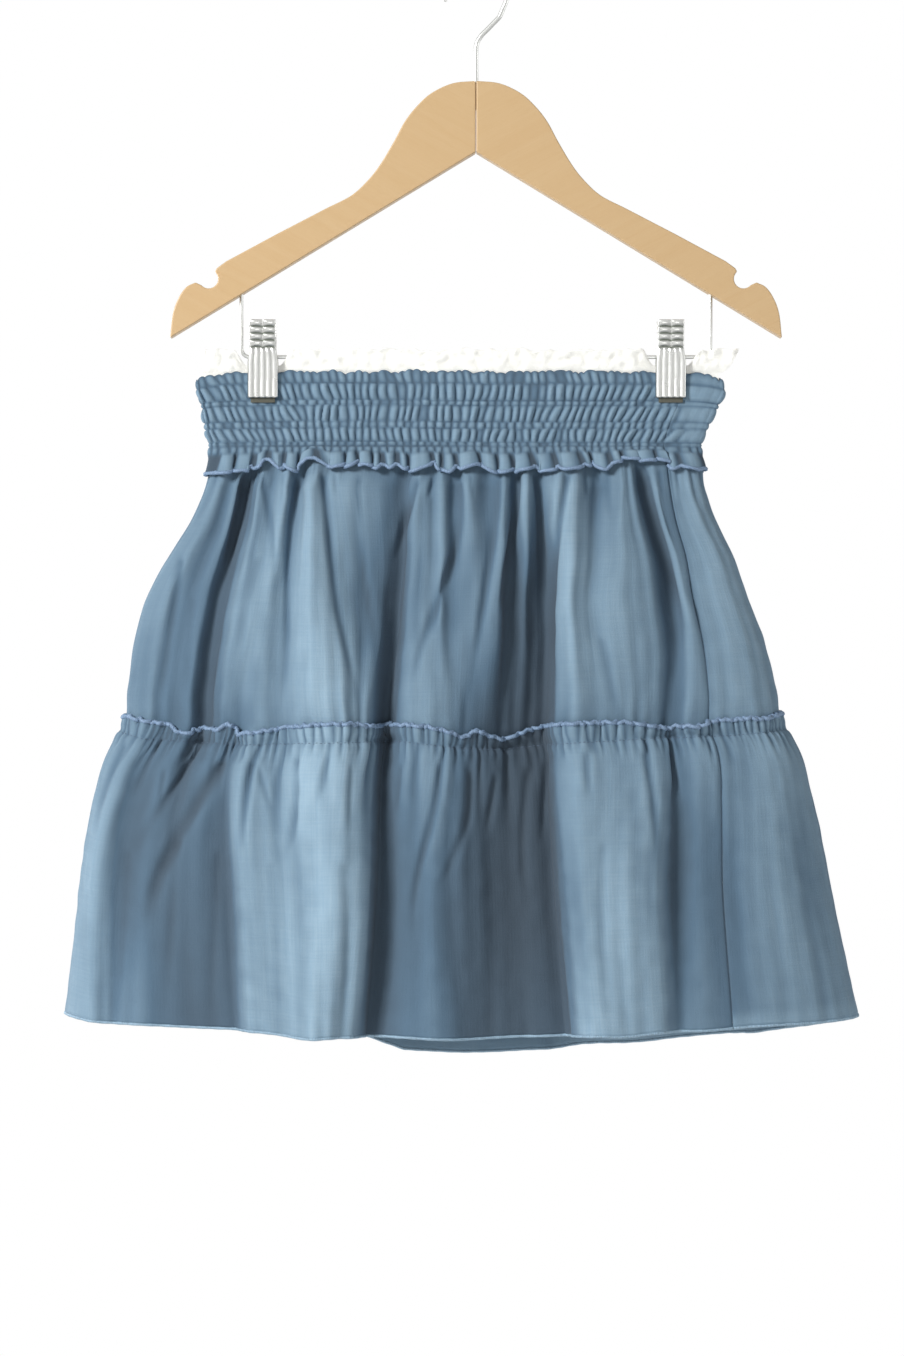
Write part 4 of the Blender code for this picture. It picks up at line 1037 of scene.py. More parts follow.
def waist_frill(side, ribs, theta, x):
    """The frill under the last elastic: its points, the directions out of it and its painted light and shade.
    """
    z, edge_out, edge_side, share = frill_grid(side, theta)
    frill = skirt_surface(z, theta=theta, valleys=0.25)
    out, beside = outward(frill)
    pinches = FRILL_PINCHES
    if side == "back":
        pinches = uneven_pinches(-172.0, 145.0, low=7.0, high=16.0, seed=27)
    folds = puffs(x, pinches, gap=1.1) * (0.82 + 0.18 * np.abs(np.sin(math.pi * ribs / 1.6)))
    swell = eased((share - 0.20) * 3.6)
    puffed = 3.9 * folds * swell * (1 - 0.34 * share**2)
    last_ribs = np.abs(np.sin(math.pi * ribs)) ** 0.8 * (1 - swell) * eased(share * 9.0) * pressed(x, z)
    wave = 0.62 * cloth_mm("frill_wave") * edge_out * share**0.75
    stand = BAND_WALL + 0.2 + 0.4 * share + wave + puffed + 1.3 * last_ribs
    frill = frill + out * stand[:, :, None] + beside * (edge_side * share * 2.3)[:, :, None]
    frill[:, :, 2] += (1.7 - 2.6 * folds + 3.0 * tilts(x, pinches, seed=28)) * share**2
    # Painted light and shade on the frill: puffs painted lighter, pinches and the last ribs painted darker
    lit = 0.08 + 0.62 * eased(1.25 * folds * (1 - 0.20 * share))
    shade = rib_shade(0.50 * last_ribs)
    return frill, out, shade + swell * (lit - shade)


def rib_shade(height):
    """How light the cloth is painted on a rib of so much height: painted shade, palest on top and dark
    between ribs.
    """
    return 0.21 + 0.47 * eased(height / 0.68)


def make_waistband(side, cotton_cloth, thread):
    """A panel of the shirred waistband, rolled over its top, with the frill that hangs from its last row."""
    ribs, theta = rib_angles(side)
    band, height, x = shirred_band(ribs, theta)
    frill, out, frill_shade = waist_frill(side, ribs, theta, x)
    points = np.vstack([band, frill])
    # Painted shade on the band's ribs and painted light and shade on the frill
    shade = np.vstack([rib_shade(height), frill_shade])
    panel = cloth_piece(f"waistband_{side}", points, travelled(points)[20], cotton_cloth, shade)
    edge = points[-1] - out[-1] * cloth_mm("wall") / 2
    return panel, overlocked_edge(f"waist_frill_{side}_overlock", edge, thread, fuller=1.3)


def frill_grid(side, theta):
    """Heights, waves and shares (0 at the last elastic, 1 at the edge) of the waist frill's points."""
    base = skirt_line(FRILL_COVERS_TO, theta=theta)
    x = base[:, 0]
    edge = np.interp(x, *WAIST_FRILL_EDGE.T)
    if side == "back":
        edge = -318.5 + 1.9 * uneven(x, wide=13.0, seed=77)
    edge = edge - lift_at(-318.0, x)
    share = (np.arange(1, FRILL_ROWS + 1) / FRILL_ROWS)[:, None] * np.ones(len(theta))
    z = LAST_ELASTIC + (edge - LAST_ELASTIC) * share
    wave_out, wave_side = frill_waves(travelled(base[None]), length=13.5, seed=65 if side == "front" else 66)
    clear = open_cloth(base[None])
    return z, wave_out * clear, wave_side * clear, share


def make_facing(material):
    """The pale facing inside the back of the band, standing up crumpled behind the clips' front jaws."""
    theta = np.linspace(math.pi + 0.16, 2 * math.pi - 0.16, FACING_COLUMNS)
    z = FACING_ROWS[:, None] * np.ones(FACING_COLUMNS)
    points = skirt_surface(np.minimum(z, BAND_TOP), theta=theta)
    points = points - outward(points)[0] * FACING_BEHIND
    stand = np.clip((z - BAND_TOP) / (FACING_ROWS[0] - BAND_TOP), 0, 1)
    across = (points[:, :, 0] - points[:, :1, 0]) / (points[:, -1:, 0] - points[:, :1, 0])
    points[:, :, 0] += stand**0.5 * (FACING_RIGHT - FACING_WIDTH * across - points[:, :, 0])
    x = points[:, :, 0]
    clear = np.ones(z.shape)
    for clip_x in CLIP_X.values():
        clear = np.minimum(clear, eased((np.abs(x - clip_x) - 10.2) / 8.0))
    ruffle = soft_noise(x, z, wide=5.2, tall=4.0, seed=201, waves=28)
    ruffle += 0.7 * soft_noise(x, z, wide=2.6, tall=2.6, seed=202, waves=28)
    ragged = 0.9 * clear * uneven(x, wide=4.2, seed=203, waves=24)
    points[:, :, 2] = z + stand * (ragged - 9.5 * (1 - clear))
    points[:, :, 1] -= stand**0.6 * (4.4 + 0.62 * ruffle) * clear
    # Painted shade in the facing's crumples
    shade = 0.55 + 0.45 * eased((ruffle + 0.9) / 1.4)
    along = travelled(points)[10]
    return cloth_piece("waist_facing", points, along, material, shade, FACING_WALL)


def smooth_line(points, per_side):
    """A smooth line through chosen points (Catmull-Rom)."""
    points = np.asarray(points, float)
    ends = [2 * points[0] - points[1], *points, 2 * points[-1] - points[-2]]
    line = []
    for a, b, c, d in zip(ends, ends[1:], ends[2:], ends[3:]):
        for t in np.arange(per_side) / per_side:
            curve = 2 * b + (c - a) * t + (2 * a - 5 * b + 4 * c - d) * t**2
            line.append(0.5 * (curve + (3 * b - a - 3 * c + d) * t**3))
    line.append(points[-1])
    return line


def arc(centre, radius, start_deg, end_deg, steps):
    """Points of an arc in a plane."""
    turn = np.radians(np.linspace(start_deg, end_deg, steps + 1))
    return [(centre[0] + radius * math.cos(a), centre[1] + radius * math.sin(a)) for a in turn]


def arm_outline():
    """The right arm of the hanger in the XZ plane, from the middle of its top round to the peak below."""
    crown = [(0, -77.5), (14.5, -79), (27.5, -85), (36.5, -93), (44, -102.5), (50.5, -114.5)]
    hollow = [(50.5, -114.5), (58.5, -128), (66, -138), (77, -148.3), (92.5, -156.3)]
    notch = arc((165.5, -200.0), 5.9, 131, 318, 22)
    shoulder = [(173.6, -202.2), (179.4, -205.2), (184.2, -212), (187.6, -221.5), (189.3, -236.5)]
    edge = [(123.5, -172.4), (154.5, -189.1), (160.4, -193.4)]
    top = [*smooth_line(crown, 6), *smooth_line(hollow, 6)[1:]]
    return [*top, *edge, *notch, *smooth_line(shoulder, 6), (0, -121.5)]


def make_arm(node, side, material):
    """Half of the wooden hanger: a board with all its edges rounded over."""
    bm = bmesh.new()
    front = -WOOD_THICKNESS / 2 * MM
    corners = [bm.verts.new((side * max(x, GLUE_LINE) * MM, front, z * MM)) for x, z in arm_outline()]
    board = bmesh.ops.extrude_face_region(bm, geom=[bm.faces.new(corners)])["geom"]
    across = [v for v in board if isinstance(v, bmesh.types.BMVert)]
    bmesh.ops.translate(bm, verts=across, vec=(0, WOOD_THICKNESS * MM, 0))
    arm = show(mesh_of(bm, f"{node}_board"), material, node)
    modify(arm, "rounded_edges", "BEVEL", width=WOOD_ROUNDING * MM, segments=5, limit_method="ANGLE",
           angle_limit=math.radians(50), harden_normals=True)


def make_wire(name, flat, step, wire, sides, steel, node, end=()):
    """A smooth bent wire through places in the XZ plane; end gives the last points' shares of its radius."""
    path = evenly([(x, 0.0, z) for x, z in flat], step)
    radius = np.full(len(path), wire / 2)
    radius[len(path) - len(end):] *= end
    solid_piece(name, [tube(path, radius, sides)], steel, node, sharp=60)


def make_hook_and_rod(steel):
    """The round steel hook and the clip rod."""
    stem = [(0, HOOK_BOTTOM), (0, -76), (0, -57), (2.4, -50), (8.2, -43.8), (14.6, -37.2)]
    throat = arc((0, HOOK_WIRE / 2 - HOOK_RADIUS), HOOK_RADIUS, -24, 205, 72)
    hook = [*smooth_line(stem, 8), *throat]
    make_wire("hook_wire", hook, 1.2, HOOK_WIRE, sides=18, steel=steel, node="hanger_hook", end=(0.9, 0.55))
    left = arc((-ROD_HALF_SPAN + ROD_BEND, ROD_Z + ROD_BEND), ROD_BEND, 180, 270, 14)
    right = [(-x, z) for x, z in reversed(left)]
    rod = [(-ROD_HALF_SPAN, ROD_TOP), *left, *right, (ROD_HALF_SPAN, ROD_TOP)]
    make_wire("clip_rod_wire", rod, 1.4, ROD_WIRE, sides=16, steel=steel, node="clip_rod")


def jaw_lean(z):
    """How far the inside of a jaw stands from the clip's middle plane at height z above its pivot."""
    return np.interp(z, (JAW_BOTTOM, -14.0, JAW_BEND, JAW_TOP), (4.0, 4.1, 5.2, 9.6))


def flutes_at(across):
    """The round of the lip's five flutes, from 0 between them to 1 on them."""
    return np.abs(np.sin(LIP_FLUTES / 2 * math.pi * (across + 1)))


def jaw_sheet():
    """The pressed front of a jaw: rows of two bumps over a fluted lip, and sides turned back."""
    rows = []
    for z in JAW_ROWS:
        thumb = (JAW_TOP - z) / (JAW_TOP - JAW_BEND)
        lip = np.clip((JAW_BEND - z) / (JAW_BEND - JAW_BOTTOM), 0, 1)
        half = THUMB_HALF_WIDTH + (LIP_HALF_WIDTH - THUMB_HALF_WIDTH) * eased(lip * 3)
        if thumb <= 1:
            bump = np.abs(np.sin(math.pi * JAW_ACROSS)) ** 0.6
            rise = THUMB_BUMP * bump * abs(math.sin(THUMB_ROWS * math.pi * thumb)) ** 0.7
        else:
            rise = LIP_RIB * flutes_at(JAW_ACROSS) ** 0.75 * eased(lip * 12)
        back = -(jaw_lean(z) + JAW_SHEET)
        front = np.stack([JAW_ACROSS * half, back - rise, np.full(len(JAW_ACROSS), z)], axis=1)
        flange = np.array([
            (half + 0.12 * (1 - (1 - share) ** 2), back + JAW_SIDE * share, z) for share in (1.0, 0.6, 0.25)
        ])
        rows.append(np.vstack([flange * (-1, 1, 1), front, flange[::-1]]))
    return np.array(rows)


def jaw_hollows():
    """Where painted shade darkens a jaw's sheet: in arcs under the thumb bumps and faintly between the
    flutes.
    """
    z, across = JAW_ROWS[:, None], JAW_ACROSS[None]
    thumb = THUMB_ROWS * (JAW_TOP - z) / (JAW_TOP - JAW_BEND) + 0.12 * np.abs(np.sin(math.pi * across)) - 0.10
    arcs = bell(thumb - np.clip(np.round(thumb), 1, THUMB_ROWS), 0.17) * (np.abs(across) < 0.94)
    between = 0.30 * (1 - flutes_at(across)) ** 2 * (z < JAW_BEND - 1.0)
    sides = np.zeros((len(z), 3))
    return np.hstack([sides, np.maximum(arcs, between), sides])


def steel_strip(node, ending, grid, steel, offset):
    """A piece of thin sheet steel through a grid of points."""
    mesh = new_mesh(f"{node}_{ending}", grid.reshape(-1, 3), grid_faces(*grid.shape[:2]).tolist())
    strip = show(mesh, steel, node)
    modify(strip, "sheet_gauge", "SOLIDIFY", thickness=SHEET_GAUGE * MM, offset=offset)
    return mesh


def ear(x):
    """A pivot ear of a jaw: a small plate rounded about the rod."""
    outline = [(-5.6, -3.0), *arc((0.0, 0.0), 3.0, -90, 90, 12), (-5.6, 3.0)]
    near = np.array([(x - 0.4, y, z) for y, z in outline])
    far = near + (0.8, 0, 0)
    count = len(outline)
    faces = [list(range(count))[::-1], list(range(count, 2 * count))]
    faces += [[i, (i + 1) % count, count + (i + 1) % count, count + i] for i in range(count)]
    return np.vstack([near, far]), faces


def make_jaw(clip, face, steel):
    """A pressed jaw of a clip, with the two ears that hold it on the rod."""
    node = f"clip_{clip}_jaw_{face}"
    turn = (-1, -1, 1) if face == "back" else (1, 1, 1)
    at = np.array((CLIP_X[clip], 0, ROD_Z))
    mesh = steel_strip(node, "sheet", jaw_sheet() * turn + at, steel, -1)
    # Painted shade for the jaw's hollows
    painted(mesh, "hollow", jaw_hollows())
    half = 7.2 if face == "front" else 6.2
    ears = [(points * turn + at, faces) for points, faces in (ear(-half), ear(half))]
    solid_piece(f"{node}_ears", ears, steel, sharp=30)


def make_spring(clip, steel):
    """The bent strip that pushes the two thumb plates apart."""
    left = smooth_line([(-6.75, 14.0), (-5.2, 9.0), (-3.6, 3.6)], 4)
    right = smooth_line([(3.6, 3.6), (5.2, 9.0), (6.75, 14.0)], 4)
    path = [*left, *arc((0, 0.4), 3.0, 190, 350, 24), *right]
    grid = np.array([[(x, y, z) for x in np.linspace(-4.5, 4.5, 5)] for y, z in path])
    steel_strip(f"clip_{clip}_spring", "strip", grid + (CLIP_X[clip], 0, ROD_Z), steel, 0)


def make_pad(clip, face, rubber):
    """A rubber strip in a jaw, ribbed where it grips and rounded at its edges."""
    sign = -1 if face == "front" else 1
    across = np.linspace(-PAD_WIDTH / 2, PAD_WIDTH / 2, 9)
    heights = np.linspace(PAD_TOP, PAD_BOTTOM, 33)
    grip = PAD_FACE + PAD_RIB - PAD_RIB * np.abs(np.sin(math.pi * (heights - PAD_BOTTOM) / 2.0))
    bm = bmesh.new()
    inner, outer = (
        [
            [bm.verts.new(((CLIP_X[clip] + x) * MM, sign * y * MM, (ROD_Z + z) * MM)) for x in across]
            for y, z in zip(depths, heights)
        ]
        for depths in (grip, np.full(len(heights), PAD_FACE + PAD_THICKNESS))
    )
    for rows in (inner, outer):
        for above, below in zip(rows, rows[1:]):
            for i in range(len(across) - 1):
                bm.faces.new((above[i], above[i + 1], below[i + 1], below[i]))
    edges = [(inner[k], outer[k]) for k in (0, -1)]
    edges += [([row[k] for row in inner], [row[k] for row in outer]) for k in (0, -1)]
    for near, far in edges:
        for i in range(len(near) - 1):
            bm.faces.new((near[i], near[i + 1], far[i + 1], far[i]))
    node = f"clip_{clip}_pad_{face}"
    pad = show(mesh_of(bm, f"{node}_rubber"), rubber, node)
    modify(pad, "moulded_edges", "BEVEL", width=0.22 * MM, segments=2, limit_method="ANGLE",
           angle_limit=math.radians(50))


class Nodes:
    """Short ways to add and join nodes in a material or a node group."""

    def __init__(self, tree):
        self.tree = tree

    def add(self, kind, **settings):
        """A new node with its settings."""
        node = self.tree.nodes.new(kind)
        for name, value in settings.items():
            setattr(node, name, value)
        return node

    def feed(self, socket, value):
        """Joins an output to a socket, or gives the socket a number, a vector or a colour."""
        if isinstance(value, bpy.types.NodeSocket):
            self.tree.links.new(value, socket)
        elif socket.type == "RGBA":
            socket.default_value = (*value, 1.0)
        else:
            socket.default_value = value

    def math(self, operation, first, second=0.0, clamp=False):
        """The result of a sum, a product or another operation on one or two values."""
        node = self.add("ShaderNodeMath", operation=operation, use_clamp=clamp)
        self.feed(node.inputs[0], first)
        self.feed(node.inputs[1], second)
        return node.outputs[0]

    def weighted(self, *terms, clamp=False):
        """The sum of values, each given with its weight."""
        total = self.math("MULTIPLY", *terms[0])
        for term in terms[1:]:
            total = self.math("ADD", total, self.math("MULTIPLY", *term), clamp)
        return total

    def noise(self, vector, scale, detail=2.0, roughness=0.5, distortion=0.0):
        """Smooth noise over a surface."""
        node = self.add("ShaderNodeTexNoise")
        values = (vector, scale, detail, roughness, distortion)
        for name, value in zip(("Vector", "Scale", "Detail", "Roughness", "Distortion"), values):
            self.feed(node.inputs[name], value)
        return node.outputs["Fac"]

    def long_noise(self, vector, scales, detail=2.0, roughness=0.6, distortion=0.0):
        """Noise that is stretched by its own scale each way."""
        node = self.add("ShaderNodeMapping")
        self.feed(node.inputs["Vector"], vector)
        self.feed(node.inputs["Scale"], scales)
        return self.noise(node.outputs["Vector"], 1.0, detail, roughness, distortion)

    def mix(self, share, first, second):
        """A colour part of the way from one to another."""
        node = self.add("ShaderNodeMix", data_type="RGBA")
        for number, value in ((0, share), (6, first), (7, second)):
            self.feed(node.inputs[number], value)
        return node.outputs[2]

    def ranged(self, value, low, high, to_low=0.0, to_high=1.0):
        """A value moved from one range to another, and kept within it."""
        node = self.add("ShaderNodeMapRange")
        self.feed(node.inputs["Value"], value)
        numbers = (low, high, to_low, to_high)
        for name, number in zip(("From Min", "From Max", "To Min", "To Max"), numbers):
            self.feed(node.inputs[name], number)
        return node.outputs["Result"]

    def place(self):
        """Where the surface is, in its object's own frame."""
        return self.add("ShaderNodeTexCoord").outputs["Object"]

    def group(self, tree, place, **values):
        """A node group fed with where the surface is and its own values."""
        node = self.add("ShaderNodeGroup", node_tree=tree)
        self.feed(node.inputs[0], place)
        for name, value in values.items():
            self.feed(node.inputs[name], value)
        return node.outputs

    def finish(self, shader, colour, roughness, height, strength, distance):
        """Feeds a shader its colour, its roughness and a bump from a height."""
        bump = self.add("ShaderNodeBump")
        for name, value in (("Strength", strength), ("Distance", distance), ("Height", height)):
            self.feed(bump.inputs[name], value)
        sockets = (("Base Color", colour), ("Roughness", roughness), ("Normal", bump.outputs["Normal"]))
        for name, value in sockets:
            self.feed(shader.inputs[name], value)


def made_once(name, store="materials"):
    """Has a finish or node group made on its first use, and found again under its name after that."""

    def keep(make):
        def found_or_made():
            stored = getattr(bpy.data, store)
            return stored[name] if name in stored else make(name)

        return found_or_made

    return keep


def new_group(name, inputs, outputs):
    """An empty node group with a place, named inputs with their defaults, and named outputs."""
    tree = bpy.data.node_groups.new(name, "ShaderNodeTree")
    tree.interface.new_socket(name="Place", in_out="INPUT", socket_type="NodeSocketVector")
    for label, default in inputs.items():
        socket = tree.interface.new_socket(name=label, in_out="INPUT", socket_type="NodeSocketFloat")
        socket.default_value = default
    for label in outputs:
        tree.interface.new_socket(name=label, in_out="OUTPUT", socket_type="NodeSocketFloat")
    nodes = Nodes(tree)
    return nodes, nodes.add("NodeGroupInput").outputs, nodes.add("NodeGroupOutput").inputs


@made_once("woven_threads", "node_groups")
def woven_threads(name):
    """Plain weave with uneven threads: relief of the weave, paler slubs both ways, and blotches of dye."""
    nodes, given, made = new_group(name, {"Threads": 2200.0, "Slub": 1.0}, ("Weave", "Slubs", "Mottle"))
    cloth = given["Place"]
    split = nodes.add("ShaderNodeSeparateXYZ")
    nodes.feed(split.inputs[0], cloth)
    warp, weft = (
        nodes.math("SINE", nodes.math("MULTIPLY", nodes.math("MULTIPLY", way, given["Threads"]), 2 * math.pi))
        for way in (split.outputs[0], split.outputs[1])
    )
    falling = nodes.long_noise(cloth, (820.0, 34.0, 1.0))
    across = nodes.long_noise(cloth, (38.0, 760.0, 1.0))
    long_slubs = nodes.long_noise(cloth, (330.0, 8.0, 1.0), 1.0, 0.5)
    slubs = nodes.ranged(nodes.weighted((falling, 0.42), (across, 0.36), (long_slubs, 0.22)), 0.40, 0.62)
    slubs = nodes.math("MULTIPLY", slubs, given["Slub"], clamp=True)
    nodes.feed(made["Weave"], nodes.weighted((nodes.math("MULTIPLY", warp, weft), 0.35), (slubs, 1.0)))
    nodes.feed(made["Slubs"], slubs)
    nodes.feed(made["Mottle"], nodes.long_noise(cloth, (26.0, 15.0, 1.0), 3.0, 0.55))
    return nodes.tree


@made_once("handling_marks", "node_groups")
def handling_marks(name):
    """Fine scratches and finger dullness, for the plated steel and the lacquered wood."""
    nodes, given, made = new_group(name, {"Scratches": 1.0}, ("Scratches", "Dullness"))
    fine = nodes.ranged(nodes.long_noise(given["Place"], (5200.0, 5200.0, 240.0)), 0.52, 0.74)
    nodes.feed(made["Scratches"], nodes.math("MULTIPLY", fine, given["Scratches"]))
    nodes.feed(made["Dullness"], nodes.ranged(nodes.noise(given["Place"], 95.0, 4.0, 0.6), 0.35, 0.7))
    return nodes.tree


def new_material(name, **constants):
    """A material, its nodes and its shader, whose sockets get these constants."""
    made = bpy.data.materials.new(name)
    made.use_nodes = True
    nodes = Nodes(made.node_tree)
    shader = made.node_tree.nodes["Principled BSDF"]
    for socket, value in constants.items():
        nodes.feed(shader.inputs[socket.replace("_", " ")], value)
    return made, nodes, shader


def tinted(colour, share, more=0.0):
    """A colour with each channel times a share, and more added, up to white."""
    return tuple(min(1.0, share * value + more) for value in colour)


def cotton(name, ground, slub, threads=2200.0, slubs=1.0, deep=0.18, in_shade=(1.0, 1.0, 1.0), **glow):
    """Dyed cotton: threads of two shades and soft blotches of dye, with painted shade deeper and more
    saturated in the folds.
    """
    made, nodes, shader = new_material(
        name, Sheen_Weight=0.08, Sheen_Roughness=0.5, Specular_IOR_Level=0.12, **glow
    )
    cloth = nodes.add("ShaderNodeUVMap", uv_map="cloth").outputs["UV"]
    woven = nodes.group(woven_threads(), cloth, Threads=threads, Slub=slubs)
    blotches = nodes.ranged(woven["Mottle"], 0.35, 0.68, 0.0, 0.38)
    blotched = nodes.mix(blotches, nodes.mix(woven["Slubs"], ground, slub), tinted(ground, 0.86))
    # Painted shade: the colour darkens towards these two colours where the painted shade attribute is low;
    # deep is the darkest painted level
    grey = sum(ground) / 3
    half_painted_share = deep + 0.30 * (1 - deep)
    deepest_painted_shade, richer = (
        tuple(kept * (own * value + (1 - own) * grey) * tint for value, tint in zip(ground, in_shade))
        for kept, own in ((deep, 0.84), (half_painted_share, 1.30))
    )
    painted_lightness = nodes.add("ShaderNodeVertexColor", layer_name="fold_shade").outputs["Color"]
    painted_fold_colour = nodes.mix(nodes.ranged(painted_lightness, 0.0, HALF_PAINTED_SHADE), deepest_painted_shade, richer)
    colour = nodes.mix(nodes.ranged(painted_lightness, HALF_PAINTED_SHADE, 1.0), painted_fold_colour, blotched)
    roughness = nodes.ranged(woven["Slubs"], 0.0, 1.0, 0.92, 0.80)
    nodes.finish(shader, colour, roughness, woven["Weave"], strength=0.5, distance=0.00022)
    return made


@made_once("dusty_blue_cotton")
def blue_cotton(name):
    """The skirt's own cotton, with a slight tint on the painted shade in its folds."""
    cloth = bpy.context.scene.skirt_cloth
    return cotton(name, tuple(cloth.blue), tuple(cloth.slub), in_shade=(0.975, 0.94, 0.985))


@made_once("cream_facing_cloth")
def facing_cotton(name):
    """The facing's finer cotton, with a painted glow that stands in for the light coming through it from
    behind.
    """
    cream = tuple(bpy.context.scene.skirt_cloth.cream)
    # Painted light: a glow on the facing, which is no lamp
    return cotton(name, cream, tinted(cream, 1.06), threads=1500.0, slubs=0.8, deep=0.8,
                  Emission_Color=cream, Emission_Strength=0.22)


def thread(name, dye, share):
    """Glossier polyester thread, wrapped at a slant; share is how light it is."""
    colour = tinted(dye, share)
    made, nodes, shader = new_material(name)
    marks = nodes.long_noise(nodes.place(), (1900.0, 1900.0, 700.0))
    shades = nodes.mix(nodes.ranged(marks, 0.35, 0.65), tinted(colour, 0.72), tinted(colour, 1.28))
    roughness = nodes.ranged(marks, 0.3, 0.7, 0.5, 0.72)
    nodes.finish(shader, shades, roughness, marks, strength=0.6, distance=0.0002)
    return made


@made_once("overlock_thread")
def overlock_thread(name):
    """The more violet thread over the frills' raw edges."""
    return thread(name, bpy.context.scene.skirt_cloth.overlock, 1.0)


@made_once("gathering_thread")
def gathering_thread(name):
    """The same thread, darkened with painted shade where it is sunk in the gathers."""
    return thread(name, bpy.context.scene.skirt_cloth.overlock, 0.42)


@made_once("hem_thread")
def hem_thread(name):
    """Thread in nearly the cloth's colour, along the hem."""
    return thread(name, bpy.context.scene.skirt_cloth.blue, 0.9)


def wood(name, turn, shift):
    """Lacquered light beech: long grain, fine dark flecks and soft bands, turned to run along the arm."""
    settings = bpy.context.scene.skirt_hanger
    made, nodes, shader = new_material(name, Coat_Weight=0.25, Coat_Roughness=0.25)
    place = nodes.place()
    turned = nodes.add("ShaderNodeMapping")
    for socket, value in (("Vector", place), ("Rotation", (0, turn, 0)), ("Location", shift)):
        nodes.feed(turned.inputs[socket], value)
    along = turned.outputs["Vector"]
    bands = nodes.ranged(nodes.long_noise(along, (9.0, 60.0, 150.0), 3.0, 0.55, 0.6), 0.35, 0.68)
    streaks = nodes.ranged(nodes.long_noise(along, (22.0, 500.0, 900.0), 3.0), 0.4, 0.7)
    flecks = nodes.ranged(nodes.long_noise(along, (170.0, 900.0, 1500.0), 1.0, 0.5), 0.60, 0.72)
    grain = nodes.weighted((bands, 0.62), (streaks, 0.30), (flecks, 0.35), clamp=True)
    light, dark = tuple(settings.wood_light), tuple(settings.wood_dark)
    colour = nodes.mix(nodes.math("MULTIPLY", grain, 0.42), light, dark)
    marks = nodes.group(handling_marks(), place, Scratches=0.4)
    dull = nodes.ranged(marks["Dullness"], 0.0, 1.0, 0.38, 0.52)
    roughness = nodes.weighted((dull, 1.0), (marks["Scratches"], 0.1))
    nodes.finish(shader, colour, roughness, grain, strength=0.12, distance=0.0002)
    return made


@made_once("beech_left")
def left_wood(name):
    """Wood whose grain runs down to the left."""
    return wood(name, math.radians(-29), (0.0, 0.0, 0.0))


@made_once("beech_right")
def right_wood(name):
    """Wood whose grain runs down to the right, from another place in the board."""
    return wood(name, math.radians(27), (0.31, 0.02, 0.17))


@made_once("plated_steel")
def plated_steel(name):
    """Chromed steel with fine scratches, duller where it is handled, with painted shade in its hollows."""
    colour = tuple(bpy.context.scene.skirt_hanger.steel)
    made, nodes, shader = new_material(name, Metallic=1.0)
    marks = nodes.group(handling_marks(), nodes.place(), Scratches=1.0)
    plated = nodes.mix(nodes.math("MULTIPLY", marks["Dullness"], 0.6), colour, tinted(colour, 0.82))
    hollow = nodes.add("ShaderNodeVertexColor", layer_name="hollow").outputs["Color"]
    dull = nodes.ranged(marks["Dullness"], 0.0, 1.0, 0.26, 0.40)
    roughness = nodes.weighted((dull, 1.0), (marks["Scratches"], 0.18))
    # Painted shade: the steel darkens in the jaws' hollows
    colour = nodes.mix(hollow, plated, CLIP_HOLLOW_SHADE)
    nodes.finish(shader, colour, roughness, marks["Scratches"], strength=0.15, distance=0.00003)
    return made


@made_once("pad_rubber")
def pad_rubber(name):
    """Matt dark rubber with dust in it."""
    colour = tuple(bpy.context.scene.skirt_hanger.rubber)
    made, nodes, shader = new_material(name)
    grit = nodes.noise(nodes.place(), 1400.0, 3.0, 0.6)
    dusty = nodes.mix(nodes.ranged(grit, 0.45, 0.75, 0.0, 0.6), colour, tinted(colour, 1.7, 0.02))
    roughness = nodes.ranged(grit, 0.3, 0.7, 0.62, 0.85)
    nodes.finish(shader, dusty, roughness, grit, strength=0.4, distance=0.0001)
    return made


class SKIRT_OT_waistband(bpy.types.Operator):
    """Make the shirred waistband, front and back, with the frill under it"""

    bl_idname = "skirt.waistband"
    bl_label = "Waistband"

    def execute(self, context):
        for side in ("front", "back"):
            band, edge = make_waistband(side, blue_cotton(), overlock_thread())
        return {"FINISHED"}


class SKIRT_OT_upper_tier(bpy.types.Operator):
    """Make the upper tier, gathered into the waistband"""

    bl_idname = "skirt.upper_tier"
    bl_label = "Upper tier"

    def execute(self, context):
        for side in ("front", "back"):
            tier = make_upper_tier(side, blue_cotton())
        return {"FINISHED"}


class SKIRT_OT_lower_tier(bpy.types.Operator):
    """Make the lower tier with its frilled heading, its gathering row and its hem"""

    bl_idname = "skirt.lower_tier"
    bl_label = "Lower tier"

    def execute(self, context):
        for side in ("front", "back"):
            tier, trims = make_lower_tier(side, blue_cotton(), overlock_thread())
        return {"FINISHED"}


class SKIRT_OT_facing(bpy.types.Operator):
    """Make the pale facing that stands up crumpled inside the back of the band"""

    bl_idname = "skirt.facing"
    bl_label = "Facing"

    def execute(self, context):
        facing = make_facing(facing_cotton())
        return {"FINISHED"}


class SKIRT_OT_wooden_arms(bpy.types.Operator):
    """Make the hanger's two glued wooden halves"""

    bl_idname = "skirt.wooden_arms"
    bl_label = "Wooden arms"

    def execute(self, context):
        make_arm("hanger_arm_left", -1, left_wood())
        make_arm("hanger_arm_right", 1, right_wood())
        return {"FINISHED"}


class SKIRT_OT_hook_and_rod(bpy.types.Operator):
    """Bend the hook and the clip rod"""

    bl_idname = "skirt.hook_and_rod"
    bl_label = "Hook and rod"

    def execute(self, context):
        make_hook_and_rod(plated_steel())
        return {"FINISHED"}


class SKIRT_OT_clips(bpy.types.Operator):
    """Make the two sprung clips with their rubber pads"""

    bl_idname = "skirt.clips"
    bl_label = "Clips"

    def execute(self, context):
        for clip in CLIP_X:
            for face in ("front", "back"):
                make_jaw(clip, face, plated_steel())
                make_pad(clip, face, pad_rubber())
            make_spring(clip, plated_steel())
        return {"FINISHED"}


